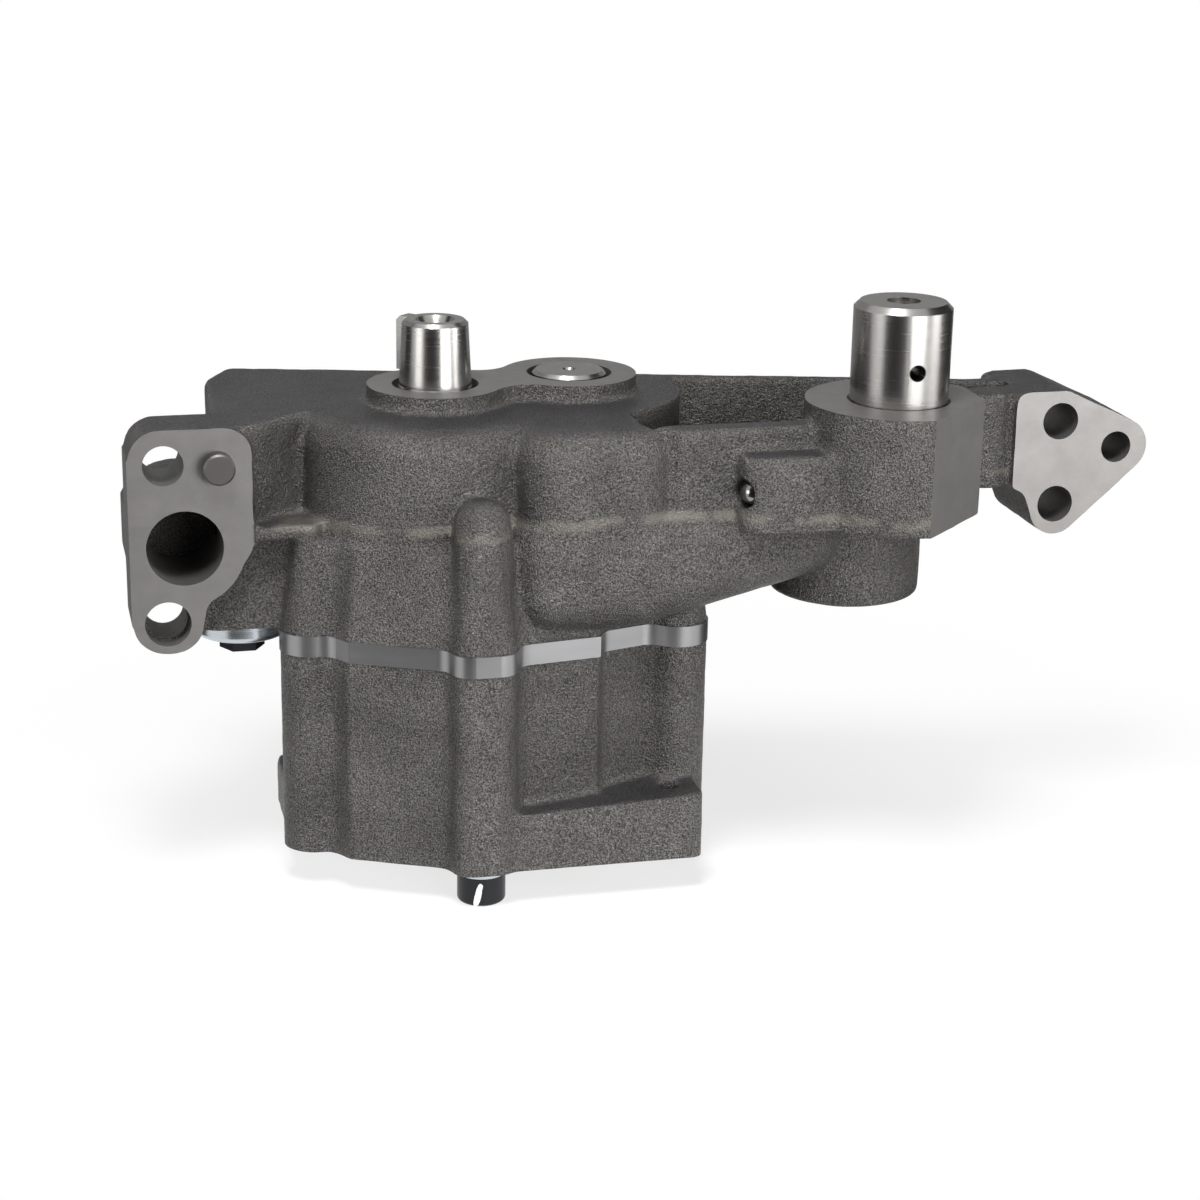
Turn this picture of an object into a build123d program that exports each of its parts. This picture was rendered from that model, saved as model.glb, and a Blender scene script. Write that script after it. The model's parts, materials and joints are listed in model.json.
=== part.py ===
"""Gear-type engine oil pump with two flanged feet and a pin for an idler gear.

The origin is on the drive shaft's axis, in the machined gear face of the body. +Z runs along the
shafts towards the drive gear, +X along the mounting plane and -Y out of the mounting plane.
Sizes are in millimetres.
"""
import os
from math import acos, atan2, cos, degrees, pi, radians, sin, sqrt, tan

from build123d import *

# Pump gears
tooth_count = 9
gear_module = 5.4
pressure_angle = 28.0
addendum = 0.9 * gear_module
dedendum = 1.15 * gear_module
tooth_backlash = 0.30
gear_length = 49.3
gear_side_clearance = 0.10
gear_tip_clearance = 0.12
pair_angle = 11.7

# Shafts and bushings
shaft_diameter = 25.0
running_clearance = 0.04
bushing_wall = 1.81
bushing_length_body = 50.0
bushing_length_housing = 14.0
driven_shaft_proud = 1.0
shaft_chamfer = 1.2
shaft_floor_gap = 1.5
shaft_hole_clearance = 0.5
taper_length = 21.5
taper_base_diameter = 24.0
taper_ratio = 0.10
taper_shoulder = 1.0
shaft_thread_diameter = 10.2
shaft_thread_depth = 30.0
shaft_countersink = 13.0
centre_drill_diameter = 4.6
centre_drill_depth = 5.0

# Key on the taper
key_width = 5.0
key_proud = 1.9
key_depth = 3.0
key_length = 18.0
key_nose = 1.5
key_angle = 135.0

# Levels of the body, down from the gear face
deck_drop = 5.5
rim_depth = 34.0
floor_below_port = 29.9
plate_thickness = 7.0
floor_thickness = 19.0

# Body barrels, seen along the shafts
barrel_radius = 46.5
barrel_foot_radius = 48.5
barrel_edge = 10.5
driven_barrel_radius = 38.0
fig8_radius = 23.0
fig8_blend = 11.0
chamber_left = 18.0
chamber_right = 70.0
chamber_front = 57.0
chamber_corner = 15.0
chamber_edge = 11.0
lower_part_height = 30.0
lower_part_draft = 8.5

# Outline of the joint, where the body, the plate and the housing meet
joint_radius = 48.5
front_wall_radius = 52.5
front_wall_start = -147.0
front_wall_end = -84.0
pocket_wall = [(14, 0), (14, -55), (45.5, -50.3), (47.5, -45.5), (63, -40.8), (75, -30), (70, 0)]
lug_radius = 10.5
lug_blend = 6.0
front_lug_width = 22.0
front_lug_corner = 7.0

# Tall lug in front, with a round top
column_radius = 9.4
column_top = 25.0

# Deck, arm and trough
deck_left = 76.0
deck_back = 62.5
deck_corner = 13.0
deck_round = 4.0
deck_edge = 3.0
deck_notch = 33.0
arm_start = 57.0
arm_lead = 13.0
rear_wall_slope = -0.228
rear_wall_thickness = 7.0
arm_front = 54.0
front_wall_thickness = 8.5
trough_depth = 30.0
trough_start = 60.0
trough_corner = 2.5

# Pin for the idler gear
pin_x = 144.7
pin_y = -47.2
pin_diameter = 32.2
pin_height = 32.5
pin_seat_depth = 34.0
pin_chamfer = 2.0
pin_foot_chamfer = 1.0
pin_bore_chamfer = 0.8
pin_groove_width = 1.5
pin_groove_depth = 0.6
pin_boss_radius = 31.0
pin_boss_end = 28.0
pin_boss_depth = 39.0
pin_boss_flat = 23.3
pin_boss_flat_angle = -46.0
pin_oil_hole = 5.5
pin_oil_hole_height = 12.0
pin_core_diameter = 8.0
pin_feed_width = 10.0
pin_feed_depth = 2.0
pin_plug_diameter = 11.0
pin_plug_length = 8.0
pin_plug_recess = 1.5
pin_plug_socket = 5.0
pin_plug_socket_depth = 4.0

# Belly of the gallery under the arm, and the round boss at its end
belly_left = 15.0
belly_knee = 58.0
belly_right = 127.0
belly_front = 57.5
belly_back = 18.0
belly_top = 31.0
belly_plate_gap = 1.8
belly_rise = 17.2
belly_corner = 14.0
belly_edge = 12.0
gallery_boss_x = 135.6
gallery_boss_y = -27.0
gallery_boss_radius = 25.7
gallery_boss_depth = 70.0
gallery_boss_edge = 2.5

# Boss with the cross-drilled oil hole
ball_boss_left = 88.0
ball_boss_front = 64.0
ball_boss_top = 13.5
ball_boss_corner = 9.0
ball_boss_edge = 2.5
ball_hole_diameter = 9.0
ball_hole_angle = 21.0
ball_height = -26.5
ball_recess = 1.0

# Left flange, in the mounting plane
flange_plane = 27.0
left_flange_thickness = 22.0
left_flange_left = -103.0
left_flange_right = -63.4
left_flange_waist = -47.0
left_flange_neck = (-79.0, -64.5)
left_flange_foot = (-81.5, -80.0)
left_flange_radii = (10.5, 9.0, 12.0, 6.0, 10.0, 11.0)
flange_bolt_hole = 13.0
left_bolt_x = -91.6
left_bolt_top = -17.3
left_bolt_spacing = 52.3
ring_recess_diameter = 14.8
ring_recess_depth = 6.0
port_x = -85.5
port_z = -44.6
port_diameter = 24.6
port_depth = 34.0
port_tube_wall = 7.5
dowel_x = -74.4
dowel_z = -18.2
dowel_diameter = 10.2
dowel_proud = 5.0
dowel_seat = 12.0
dowel_chamfer = 0.6
dowel_groove_width = 0.8
dowel_groove_depth = 0.5
web_top = 38.1
web_thickness = 5.4
web_front = 28.0

# Right flange, in the mounting plane
right_flange_plane = 24.0
right_flange_thickness = 36.0
right_flange_left = 196.3
right_flange_shoulder = 39.0
right_bolt_x = 212.8
right_bolt_top = -15.8
right_bolt_spacing = 29.3
right_bolt_hole = 12.8
right_locating_x = 234.0
right_locating_z = -25.7
right_locating_hole = 10.9
right_tip_reach = 19.7
right_foot_reach = 18.5
right_flange_radii = (4.0, 4.0, 10.0, 9.5, 4.0, 2.0)
neck_front = 20.0
neck_rib_radius = 9.0

# Relief valve in the left side of the body
relief_x = -65.7
relief_y = -1.0
relief_bore = 16.0
relief_front = 22.0
relief_right = -40.0
relief_back = 30.0
relief_block_left = 82.0
relief_block_corner = 8.0
relief_bore_top = 39.0
relief_feed_diameter = 12.0
relief_feed_z = -45.0
plunger_diameter = 15.9
plunger_length = 12.0
plunger_skirt = 9.0
plunger_wall = 1.6
plunger_travel = 4.5
relief_cap_diameter = 31.6
relief_cap_thickness = 7.0
relief_cap_edge = 2.0
relief_cap_spigot = 5.0
spring_wire = 1.4
spring_turns = 5
spring_clearance = 0.4
guide_bolt_diameter = 8.0
guide_bolt_flats = 13.0
guide_bolt_head = 5.3
guide_bolt_stand = 4.0

# Screws that hold the housing and the plate to the body
screw_diameter = 10.0
screw_hole = 10.6
screw_head_diameter = 16.0
screw_head_height = 10.0
screw_head_edge = 1.2
screw_socket = 8.0
screw_grip_in_body = 18.0
screw_tip_gap = 2.0
washer_thickness = 2.0
washer_diameter = 16.6
counterbore_diameter = 17.2
locating_dowel_diameter = 8.0
locating_dowel_length = 20.0
locating_dowel_gap = 0.5
locating_radius = 38.0

# Gear housing
foot_left = -3.0
foot_front = 62.0
foot_right = 79.5
foot_corner = 4.0
foot_height = 19.5
foot_rise = 3.5
foot_screw_hole = 6.8
foot_screw_inset = 10.0
foot_screw_y = -50.0
side_foot_left = -58.8
side_foot_height = 32.0
side_foot_corner = 8.0
suction_bore = 30.0
suction_spigot_depth = 12.0
suction_passage = 24.0
suction_pad_radius = 22.0
suction_bolt_spacing = 50.0
suction_bolt_hole = 8.5
suction_bolt_depth = 11.0
suction_bolt_lug = 10.5
inlet_face = 60.0
inlet_x = 4.0
port_window_width = 26.0

# Lugs round the gear chamber, each with one screw, the heads of the second row let into the housing
front_lug = (5.6, -53)
proud_screws = [front_lug, (92, 36), (40, 60.5), (-27, 43)]
recessed_screws = [(-45.3, -23), (75, -35.3)]

# Values worked out from the ones above
lug_places = proud_screws + recessed_screws
centre_distance = tooth_count * gear_module
body_bottom = port_z - floor_below_port
plate_bottom = body_bottom - plate_thickness
cavity_depth = gear_length + 2 * gear_side_clearance
cavity_floor = plate_bottom - cavity_depth
housing_bottom = cavity_floor - floor_thickness
driven_x = centre_distance * cos(radians(pair_angle))
driven_y = centre_distance * sin(radians(pair_angle))
drive_at = (0, 0)
driven_at = (driven_x, driven_y)
dowel_places = [
    (locating_radius * cos(radians(165)), locating_radius * sin(radians(165))),
    (driven_x + locating_radius * cos(radians(-15)), driven_y + locating_radius * sin(radians(-15))),
]
pin_at = (pin_x, pin_y)
bushing_bore = shaft_diameter + 2 * running_clearance
bushing_outside = bushing_bore + 2 * bushing_wall
pitch_radius = centre_distance / 2
tip_radius = pitch_radius + addendum
root_radius = pitch_radius - dedendum
base_radius = pitch_radius * cos(radians(pressure_angle))
cavity_radius = tip_radius + gear_tip_clearance
deck_z = -deck_drop
taper_top_diameter = taper_base_diameter - taper_length * taper_ratio
relief_at = (relief_x, relief_y)
flange_y = -flange_plane
left_bolts = [(left_bolt_x, left_bolt_top), (left_bolt_x, left_bolt_top - left_bolt_spacing)]
right_bolts = [(right_bolt_x, right_bolt_top), (right_bolt_x, right_bolt_top - right_bolt_spacing)]
hole_direction = Vector(cos(radians(ball_hole_angle)), sin(radians(ball_hole_angle)), 0)
oil_hole_start = Vector(
    ball_boss_left + ball_boss_corner - ball_boss_corner * hole_direction.X,
    -ball_boss_front + ball_boss_corner - ball_boss_corner * hole_direction.Y,
    ball_height,
)
oil_hole_plane = Plane(oil_hole_start, z_dir=-hole_direction)
oil_hole_length = pin_x - oil_hole_start.X
belly_bottom = body_bottom + belly_plate_gap
dowel_end = (locating_dowel_length - plate_thickness) / 2 + locating_dowel_gap
gear_bottom = cavity_floor + gear_side_clearance
shaft_bottom = cavity_floor - bushing_length_housing
inlet_z = (plate_bottom + cavity_floor) / 2
suction_bolts = [
    (inlet_x - suction_bolt_spacing / 2, inlet_z),
    (inlet_x + suction_bolt_spacing / 2, inlet_z),
]
key_seat_radius = taper_top_diameter / 2 - key_depth
key_top_radius = taper_base_diameter / 2 + key_proud
key_line = Vector(cos(radians(key_angle)), sin(radians(key_angle)), 0)
key_plane = Plane((0, 0, 0), x_dir=key_line, z_dir=key_line.cross(Vector(0, 0, 1)))
plunger_bottom = body_bottom + relief_cap_spigot + plunger_travel + 1.0
guide_bolt_reach = relief_cap_thickness + relief_cap_spigot + guide_bolt_stand
spring_foot = body_bottom + relief_cap_spigot
spring_radius = plunger_diameter / 2 - plunger_wall - spring_clearance - spring_wire / 2
spring_pitch = (plunger_bottom + plunger_skirt - spring_foot - spring_wire) / spring_turns
screw_recess = screw_head_height + washer_thickness
screw_tip = body_bottom + screw_grip_in_body - screw_tip_gap
screw_rows = [
    (proud_screws, housing_bottom),
    (recessed_screws, housing_bottom + screw_recess),
]


def rear_wall_y(x):
    """Outside of the rear wall at this x."""
    return deck_back + rear_wall_slope * (x + deck_left - deck_corner)


def save(builder, name):
    """Label a finished piece and write it."""
    builder.part.label = name
    export_step(builder.part, f"parts/{name}.step")


def involute(radius):
    """Angle, in radians, that an involute from the base circle has turned through at a radius."""
    slope = acos(base_radius / radius)
    return tan(slope) - slope


def tooth_half_angle(radius):
    """Half of the angle that a tooth covers at a radius."""
    at_pitch = pi / (2 * tooth_count) - tooth_backlash / (4 * pitch_radius)
    return at_pitch + involute(pitch_radius) - involute(radius)


def on_circle(radius, angle):
    return (radius * cos(angle), radius * sin(angle))


os.makedirs("parts", exist_ok=True)


# Outline that the plate shares with the castings above and below it
with BuildSketch() as shared_outline:
    with Locations(drive_at, driven_at):
        Circle(joint_radius)
    Polygon(
        (0, 0),
        on_circle(front_wall_radius, radians(front_wall_start)),
        on_circle(front_wall_radius / cos(radians(front_wall_end - front_wall_start) / 4),
                  radians(front_wall_start + (front_wall_end - front_wall_start) / 4)),
        on_circle(front_wall_radius, radians((front_wall_start + front_wall_end) / 2)),
        on_circle(front_wall_radius / cos(radians(front_wall_end - front_wall_start) / 4),
                  radians(front_wall_end - (front_wall_end - front_wall_start) / 4)),
        on_circle(front_wall_radius, radians(front_wall_end)),
        align=None,
    )
    Polygon(*pocket_wall, align=None)
    with Locations(front_lug):
        RectangleRounded(front_lug_width, front_lug_width, front_lug_corner)
    for x, y in lug_places:
        with Locations((x, y)):
            Circle(lug_radius)
        hub_x = driven_x if x > driven_x / 2 + lug_radius else 0
        hub_y = driven_y if x > driven_x / 2 + lug_radius else 0
        reach = sqrt((x - hub_x) ** 2 + (y - hub_y) ** 2)
        bearing = degrees(atan2(y - hub_y, x - hub_x))
        with Locations(Location(((x + hub_x) / 2, (y + hub_y) / 2, 0), (0, 0, bearing))):
            Rectangle(reach, 2 * lug_radius)
    offset(amount=lug_blend)
    offset(amount=-lug_blend)


# Forms of the pump body that have rounded edges of their own
with BuildPart() as barrel_block:
    with BuildSketch(Plane.XZ):
        with BuildLine():
            Polyline(
                (0, body_bottom),
                (barrel_foot_radius, body_bottom),
                (barrel_radius, deck_z),
                (0, deck_z),
                close=True,
            )
        make_face()
    revolve(axis=Axis.Z)
    fillet(barrel_block.edges().group_by(Axis.Z)[-1], barrel_edge)

with BuildPart() as chamber_block:
    with BuildSketch(Plane.XY.offset(belly_bottom + belly_edge)):
        with Locations(((chamber_left + chamber_right) / 2, -chamber_front / 2)):
            RectangleRounded(chamber_right - chamber_left, chamber_front, chamber_corner)
    extrude(amount=deck_z - belly_bottom - belly_edge)
    fillet(chamber_block.edges().group_by(Axis.Z)[-1], chamber_edge)

with BuildPart() as belly_block:
    with BuildSketch(Plane.XZ.offset(belly_back)):
        with BuildLine():
            FilletPolyline(
                (belly_left, -belly_top),
                (belly_right, -belly_top),
                (belly_right, belly_bottom + belly_rise),
                (belly_knee, belly_bottom),
                (belly_left, belly_bottom),
                radius=belly_corner,
                close=True,
            )
        make_face()
    extrude(amount=belly_front - belly_back)
    fillet(belly_block.edges().group_by(Axis.Y)[0], belly_edge)

with BuildPart() as gallery_boss:
    with BuildSketch(Plane.XY.offset(-gallery_boss_depth)):
        with Locations((gallery_boss_x, gallery_boss_y)):
            Circle(gallery_boss_radius)
    extrude(amount=gallery_boss_depth - belly_top)
    fillet(gallery_boss.edges().group_by(Axis.Z)[0], gallery_boss_edge)

with BuildPart() as ball_boss:
    with BuildSketch(Plane.XY.offset(-pin_boss_depth)):
        with BuildLine():
            FilletPolyline(
                (ball_boss_left, -arm_front + ball_boss_corner),
                (ball_boss_left, -ball_boss_front),
                (pin_x - ball_boss_corner, -ball_boss_front),
                (pin_x - ball_boss_corner, -arm_front + ball_boss_corner),
                radius=ball_boss_corner,
                close=True,
            )
        make_face()
    extrude(amount=pin_boss_depth - ball_boss_top)
    fillet(ball_boss.edges().group_by(Axis.Z)[-1], ball_boss_edge)

with BuildPart() as column:
    with BuildSketch(Plane.XZ.offset(-front_lug[1])):
        with BuildLine():
            Polyline(
                (front_lug[0], -column_top),
                (front_lug[0], body_bottom),
                (front_lug[0] + lug_radius, body_bottom),
                (front_lug[0] + column_radius, -column_top - column_radius),
            )
            RadiusArc(
                (front_lug[0] + column_radius, -column_top - column_radius),
                (front_lug[0], -column_top),
                -column_radius,
            )
        make_face()
    revolve(axis=Axis((*front_lug, 0), (0, 0, 1)))

with BuildPart() as deck_block:
    with BuildSketch(Plane.XY.offset(deck_z)):
        Polygon(
            (-deck_left, flange_y + 2),
            (left_flange_right - 1, flange_y + 2),
            (-deck_notch, 0),
            (arm_start, 0),
            (arm_start, -arm_front + arm_lead),
            (arm_start + arm_lead, -arm_front),
            (pin_x, -arm_front),
            (pin_x + pin_boss_end, -neck_front),
            (right_flange_left + deck_round, -neck_front),
            (right_flange_left + deck_round, right_flange_thickness - right_flange_plane - 2),
            (right_flange_left - deck_round, rear_wall_y(right_flange_left - deck_round)),
            (-deck_left + deck_corner, rear_wall_y(-deck_left + deck_corner)),
            (-deck_left + deck_round, deck_back - deck_corner - deck_round),
            align=None,
        )
        offset(amount=deck_round)
        offset(amount=-2 * deck_round)
        offset(amount=deck_round)
    extrude(amount=-rim_depth)
    fillet(deck_block.edges().group_by(Axis.Z)[-1], deck_edge)

with BuildPart() as relief_block:
    with BuildSketch(Plane.XY.offset(body_bottom)):
        with BuildLine():
            FilletPolyline(
                (-relief_block_left, -relief_front),
                (relief_right, -relief_front),
                (relief_right, relief_back),
                (-relief_block_left, relief_back),
                radius=relief_block_corner,
                close=True,
            )
        make_face()
    extrude(amount=-web_top - web_thickness + 1 - body_bottom)

# Pump body, an iron casting
with BuildPart() as pump_body:
    add(barrel_block.part)
    add(chamber_block.part)
    add(belly_block.part)
    add(gallery_boss.part)
    add(column.part)
    add(deck_block.part)
    add(relief_block.part)

    # Lower part, which narrows upwards from the plate
    with BuildSketch(Plane.XY.offset(body_bottom)):
        add(shared_outline.sketch)
    extrude(amount=lower_part_height, taper=lower_part_draft)

    # Pin block
    with BuildSketch():
        with Locations(pin_at):
            Circle(pin_boss_radius)
        with Locations((pin_x + pin_boss_end - pin_boss_radius, pin_y)):
            Rectangle(2 * pin_boss_radius, 2 * pin_boss_radius, mode=Mode.INTERSECT)
    extrude(amount=-pin_boss_depth)
    add(ball_boss.part)

    # Rib down the front of the neck
    with BuildSketch(Plane.XY.offset(deck_z)):
        with Locations((right_flange_left - neck_rib_radius + 2, -neck_front + neck_rib_radius - 3)):
            Circle(neck_rib_radius)
    extrude(amount=-rim_depth)

    # Tube behind the left flange, round the outlet
    with BuildSketch(Plane.XZ.offset(flange_plane)):
        with Locations((port_x, port_z)):
            Circle(port_diameter / 2 + port_tube_wall)
    extrude(amount=-port_depth - port_tube_wall)

    # Web between the left flange and the barrel
    with BuildSketch(Plane.XY.offset(-web_top)):
        Polygon(
            (left_flange_right - 4, -web_front),
            (front_wall_radius * cos(radians(front_wall_start)), -web_front - 1),
            (-relief_front, 0),
            (left_flange_right - 4, 0),
            align=None,
        )
    extrude(amount=-web_thickness)

    # Left flange
    with BuildSketch(Plane.XZ.offset(flange_plane)):
        with BuildLine():
            FilletPolyline(
                (left_flange_left, deck_z),
                (left_flange_right, deck_z),
                (left_flange_right, left_flange_waist),
                left_flange_neck,
                left_flange_foot,
                (left_flange_left, left_flange_foot[1]),
                radius=left_flange_radii,
                close=True,
            )
        make_face()
    extrude(amount=-left_flange_thickness)

    # Right flange
    with BuildSketch(Plane.XZ.offset(right_flange_plane)):
        with BuildLine():
            FilletPolyline(
                (right_flange_left, deck_z + 0.5),
                (right_bolt_x + 2.2, deck_z + 0.5),
                (right_locating_x + right_tip_reach, right_locating_z + 3),
                (right_bolt_x - 4.3, right_bolts[1][1] - right_foot_reach),
                (right_flange_left + 4.7, -right_flange_shoulder - 2),
                (right_flange_left, -right_flange_shoulder),
                radius=right_flange_radii,
                close=True,
            )
        make_face()
    extrude(amount=-right_flange_thickness)

    # Raised figure of eight round the shafts
    with BuildSketch(Plane.XY.offset(deck_z)):
        with Locations(drive_at, driven_at):
            Circle(fig8_radius)
        with Locations(Location((driven_x / 2, driven_y / 2, 0), (0, 0, pair_angle))):
            Rectangle(centre_distance / 2, fig8_radius)
        offset(amount=fig8_blend)
        offset(amount=-fig8_blend)
    extrude(amount=deck_drop)

    # Machined flat on the pin block
    with BuildSketch(Plane.XY.offset(-pin_boss_depth - 1)):
        with Locations(Location((pin_x, pin_y, 0), (0, 0, pin_boss_flat_angle))):
            with Locations((pin_boss_flat + pin_boss_radius / 2, 0)):
                Rectangle(pin_boss_radius, 2 * pin_boss_radius)
    extrude(amount=pin_boss_depth + 2, mode=Mode.SUBTRACT)

    # Trough in the arm
    with BuildSketch(Plane.XY.offset(deck_z)):
        Polygon(
            (trough_start, -arm_front + front_wall_thickness),
            (pin_x, -arm_front + front_wall_thickness),
            (pin_x + pin_boss_end - 8, -neck_front + 8),
            (right_flange_left + 4, rear_wall_y(right_flange_left) - rear_wall_thickness - 5),
            (right_flange_left + 4, rear_wall_y(right_flange_left) - rear_wall_thickness),
            (trough_start, rear_wall_y(trough_start) - rear_wall_thickness),
            align=None,
        )
        with Locations(driven_at):
            Circle(driven_barrel_radius, mode=Mode.SUBTRACT)
        with Locations(pin_at):
            Circle(pin_boss_radius, mode=Mode.SUBTRACT)
        offset(amount=-trough_corner)
        offset(amount=trough_corner)
    extrude(amount=-trough_depth, mode=Mode.SUBTRACT)

    # Bores for the bushings
    with BuildSketch():
        with Locations(drive_at, driven_at):
            Circle(bushing_outside / 2)
    extrude(amount=body_bottom, mode=Mode.SUBTRACT)

    # Bore for the pin, with a chamfered mouth
    with BuildSketch():
        with Locations(pin_at):
            Circle(pin_diameter / 2)
    extrude(amount=-pin_seat_depth, mode=Mode.SUBTRACT)
    with BuildSketch():
        with Locations(pin_at):
            Circle(pin_diameter / 2 + pin_bore_chamfer)
    extrude(amount=-pin_bore_chamfer, taper=45, mode=Mode.SUBTRACT)

    # Oil hole, drilled from the corner of its boss into the bore of the pin
    with BuildSketch(oil_hole_plane.offset(ball_boss_corner)):
        Circle(ball_hole_diameter / 2)
    extrude(amount=-oil_hole_length - ball_boss_corner, mode=Mode.SUBTRACT)

    # Relief valve bore
    with BuildSketch(Plane.XY.offset(body_bottom)):
        with Locations(relief_at):
            Circle(relief_bore / 2)
    extrude(amount=-relief_bore_top - body_bottom, mode=Mode.SUBTRACT)

    # Feed from the outlet port to the relief valve
    with BuildSketch(Plane.YZ.offset(port_x)):
        with Locations((relief_y, relief_feed_z)):
            Circle(relief_feed_diameter / 2)
    extrude(amount=relief_x - port_x, mode=Mode.SUBTRACT)

    # Outlet port
    with BuildSketch(Plane.XZ.offset(flange_plane)):
        with Locations((port_x, port_z)):
            Circle(port_diameter / 2)
    extrude(amount=-port_depth, mode=Mode.SUBTRACT)

    # Bolt and dowel holes of both flanges
    with BuildSketch(Plane.XZ.offset(flange_plane)):
        with Locations(left_bolts):
            Circle(flange_bolt_hole / 2)
    extrude(amount=-left_flange_thickness - 1, mode=Mode.SUBTRACT)
    with BuildSketch(Plane.XZ.offset(flange_plane)):
        with Locations(left_bolts[1]):
            Circle(ring_recess_diameter / 2)
    extrude(amount=-ring_recess_depth, mode=Mode.SUBTRACT)
    with BuildSketch(Plane.XZ.offset(flange_plane)):
        with Locations((dowel_x, dowel_z)):
            Circle(dowel_diameter / 2)
    extrude(amount=-dowel_seat, mode=Mode.SUBTRACT)
    with BuildSketch(Plane.XZ.offset(right_flange_plane)):
        with Locations(right_bolts):
            Circle(right_bolt_hole / 2)
        with Locations((right_locating_x, right_locating_z)):
            Circle(right_locating_hole / 2)
    extrude(amount=-right_flange_thickness, mode=Mode.SUBTRACT)

    # Screw and dowel holes from below
    with BuildSketch(Plane.XY.offset(body_bottom)):
        with Locations(lug_places):
            Circle(screw_diameter / 2)
    extrude(amount=screw_grip_in_body, mode=Mode.SUBTRACT)
    with BuildSketch(Plane.XY.offset(body_bottom)):
        with Locations(dowel_places):
            Circle(locating_dowel_diameter / 2)
    extrude(amount=dowel_end, mode=Mode.SUBTRACT)

save(pump_body, "pump_body")

# Plate between the body and the housing, ground steel
with BuildPart() as wear_plate:
    with BuildSketch(Plane.XY.offset(plate_bottom)):
        add(shared_outline.sketch)
        with Locations(drive_at, driven_at):
            Circle(shaft_diameter / 2 + shaft_hole_clearance, mode=Mode.SUBTRACT)
        with Locations(lug_places):
            Circle(screw_hole / 2, mode=Mode.SUBTRACT)
        with Locations(dowel_places):
            Circle(locating_dowel_diameter / 2, mode=Mode.SUBTRACT)
    extrude(amount=plate_thickness)

save(wear_plate, "wear_plate")

# Foot along the front of the housing, with a top that rises to the right
with BuildPart() as front_foot:
    with BuildSketch(Plane.XZ):
        Polygon(
            (foot_left, housing_bottom),
            (foot_right, housing_bottom),
            (foot_right, housing_bottom + foot_height + foot_rise),
            (front_lug[0], housing_bottom + foot_height),
            (foot_left, housing_bottom + foot_height),
            align=None,
        )
    extrude(amount=foot_front)
    fillet(front_foot.edges().filter_by(Axis.Z).group_by(Axis.Y)[0], foot_corner)

# Foot at the left of the housing
with BuildPart() as side_foot:
    with BuildSketch(Plane.XY.offset(housing_bottom)):
        with Locations(((side_foot_left + relief_right) / 2, 0)):
            RectangleRounded(relief_right - side_foot_left, 2 * relief_front, side_foot_corner)
    extrude(amount=side_foot_height)
    fillet(side_foot.edges().group_by(Axis.Z)[-1], foot_corner)

# Gear housing, an iron casting
with BuildPart() as gear_housing:
    with BuildSketch(Plane.XY.offset(housing_bottom)):
        add(shared_outline.sketch)
    extrude(amount=plate_bottom - housing_bottom)
    add(front_foot.part)
    add(side_foot.part)

    # Pad for the inlet, at the back
    with BuildSketch(Plane.XZ.offset(-inlet_face)):
        with Locations((inlet_x, inlet_z)):
            Circle(suction_pad_radius)
        with Locations(suction_bolts):
            Circle(suction_bolt_lug)
    extrude(amount=inlet_face - driven_y)

    # Gear chamber
    with BuildSketch(Plane.XY.offset(plate_bottom)):
        with Locations(drive_at, driven_at):
            Circle(cavity_radius)
        with Locations(Location((driven_x / 2, driven_y / 2, 0), (0, 0, pair_angle))):
            Rectangle(port_window_width, 2 * cavity_radius)
    extrude(amount=-cavity_depth, mode=Mode.SUBTRACT)

    # Inlet
    with BuildSketch(Plane.XZ.offset(-inlet_face)):
        with Locations((inlet_x, inlet_z)):
            Circle(suction_bore / 2)
    extrude(amount=suction_spigot_depth, mode=Mode.SUBTRACT)
    with BuildSketch(Plane.XZ.offset(-inlet_face)):
        with Locations((inlet_x, inlet_z)):
            Circle(suction_passage / 2)
    extrude(amount=inlet_face - driven_y, mode=Mode.SUBTRACT)
    with BuildSketch(Plane.XZ.offset(-inlet_face)):
        with Locations(suction_bolts):
            Circle(suction_bolt_hole / 2)
    extrude(amount=suction_bolt_depth, mode=Mode.SUBTRACT)

    # Seats of the bushings in the floor
    with BuildSketch(Plane.XY.offset(cavity_floor)):
        with Locations(drive_at, driven_at):
            Circle(bushing_outside / 2)
    extrude(amount=-bushing_length_housing - shaft_floor_gap, mode=Mode.SUBTRACT)

    # Screw, dowel and bracket holes
    with BuildSketch(Plane.XY.offset(housing_bottom)):
        with Locations(lug_places):
            Circle(screw_hole / 2)
    extrude(amount=plate_bottom - housing_bottom, mode=Mode.SUBTRACT)
    with BuildSketch(Plane.XY.offset(housing_bottom)):
        with Locations(recessed_screws):
            Circle(counterbore_diameter / 2)
    extrude(amount=screw_recess, mode=Mode.SUBTRACT)
    with BuildSketch(Plane.XY.offset(plate_bottom)):
        with Locations(dowel_places):
            Circle(locating_dowel_diameter / 2)
    extrude(amount=-dowel_end, mode=Mode.SUBTRACT)
    with BuildSketch(Plane.XY.offset(housing_bottom)):
        with Locations((foot_right - foot_screw_inset, foot_screw_y)):
            Circle(foot_screw_hole / 2)
    extrude(amount=foot_height + foot_rise, mode=Mode.SUBTRACT)

save(gear_housing, "gear_housing")


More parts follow.
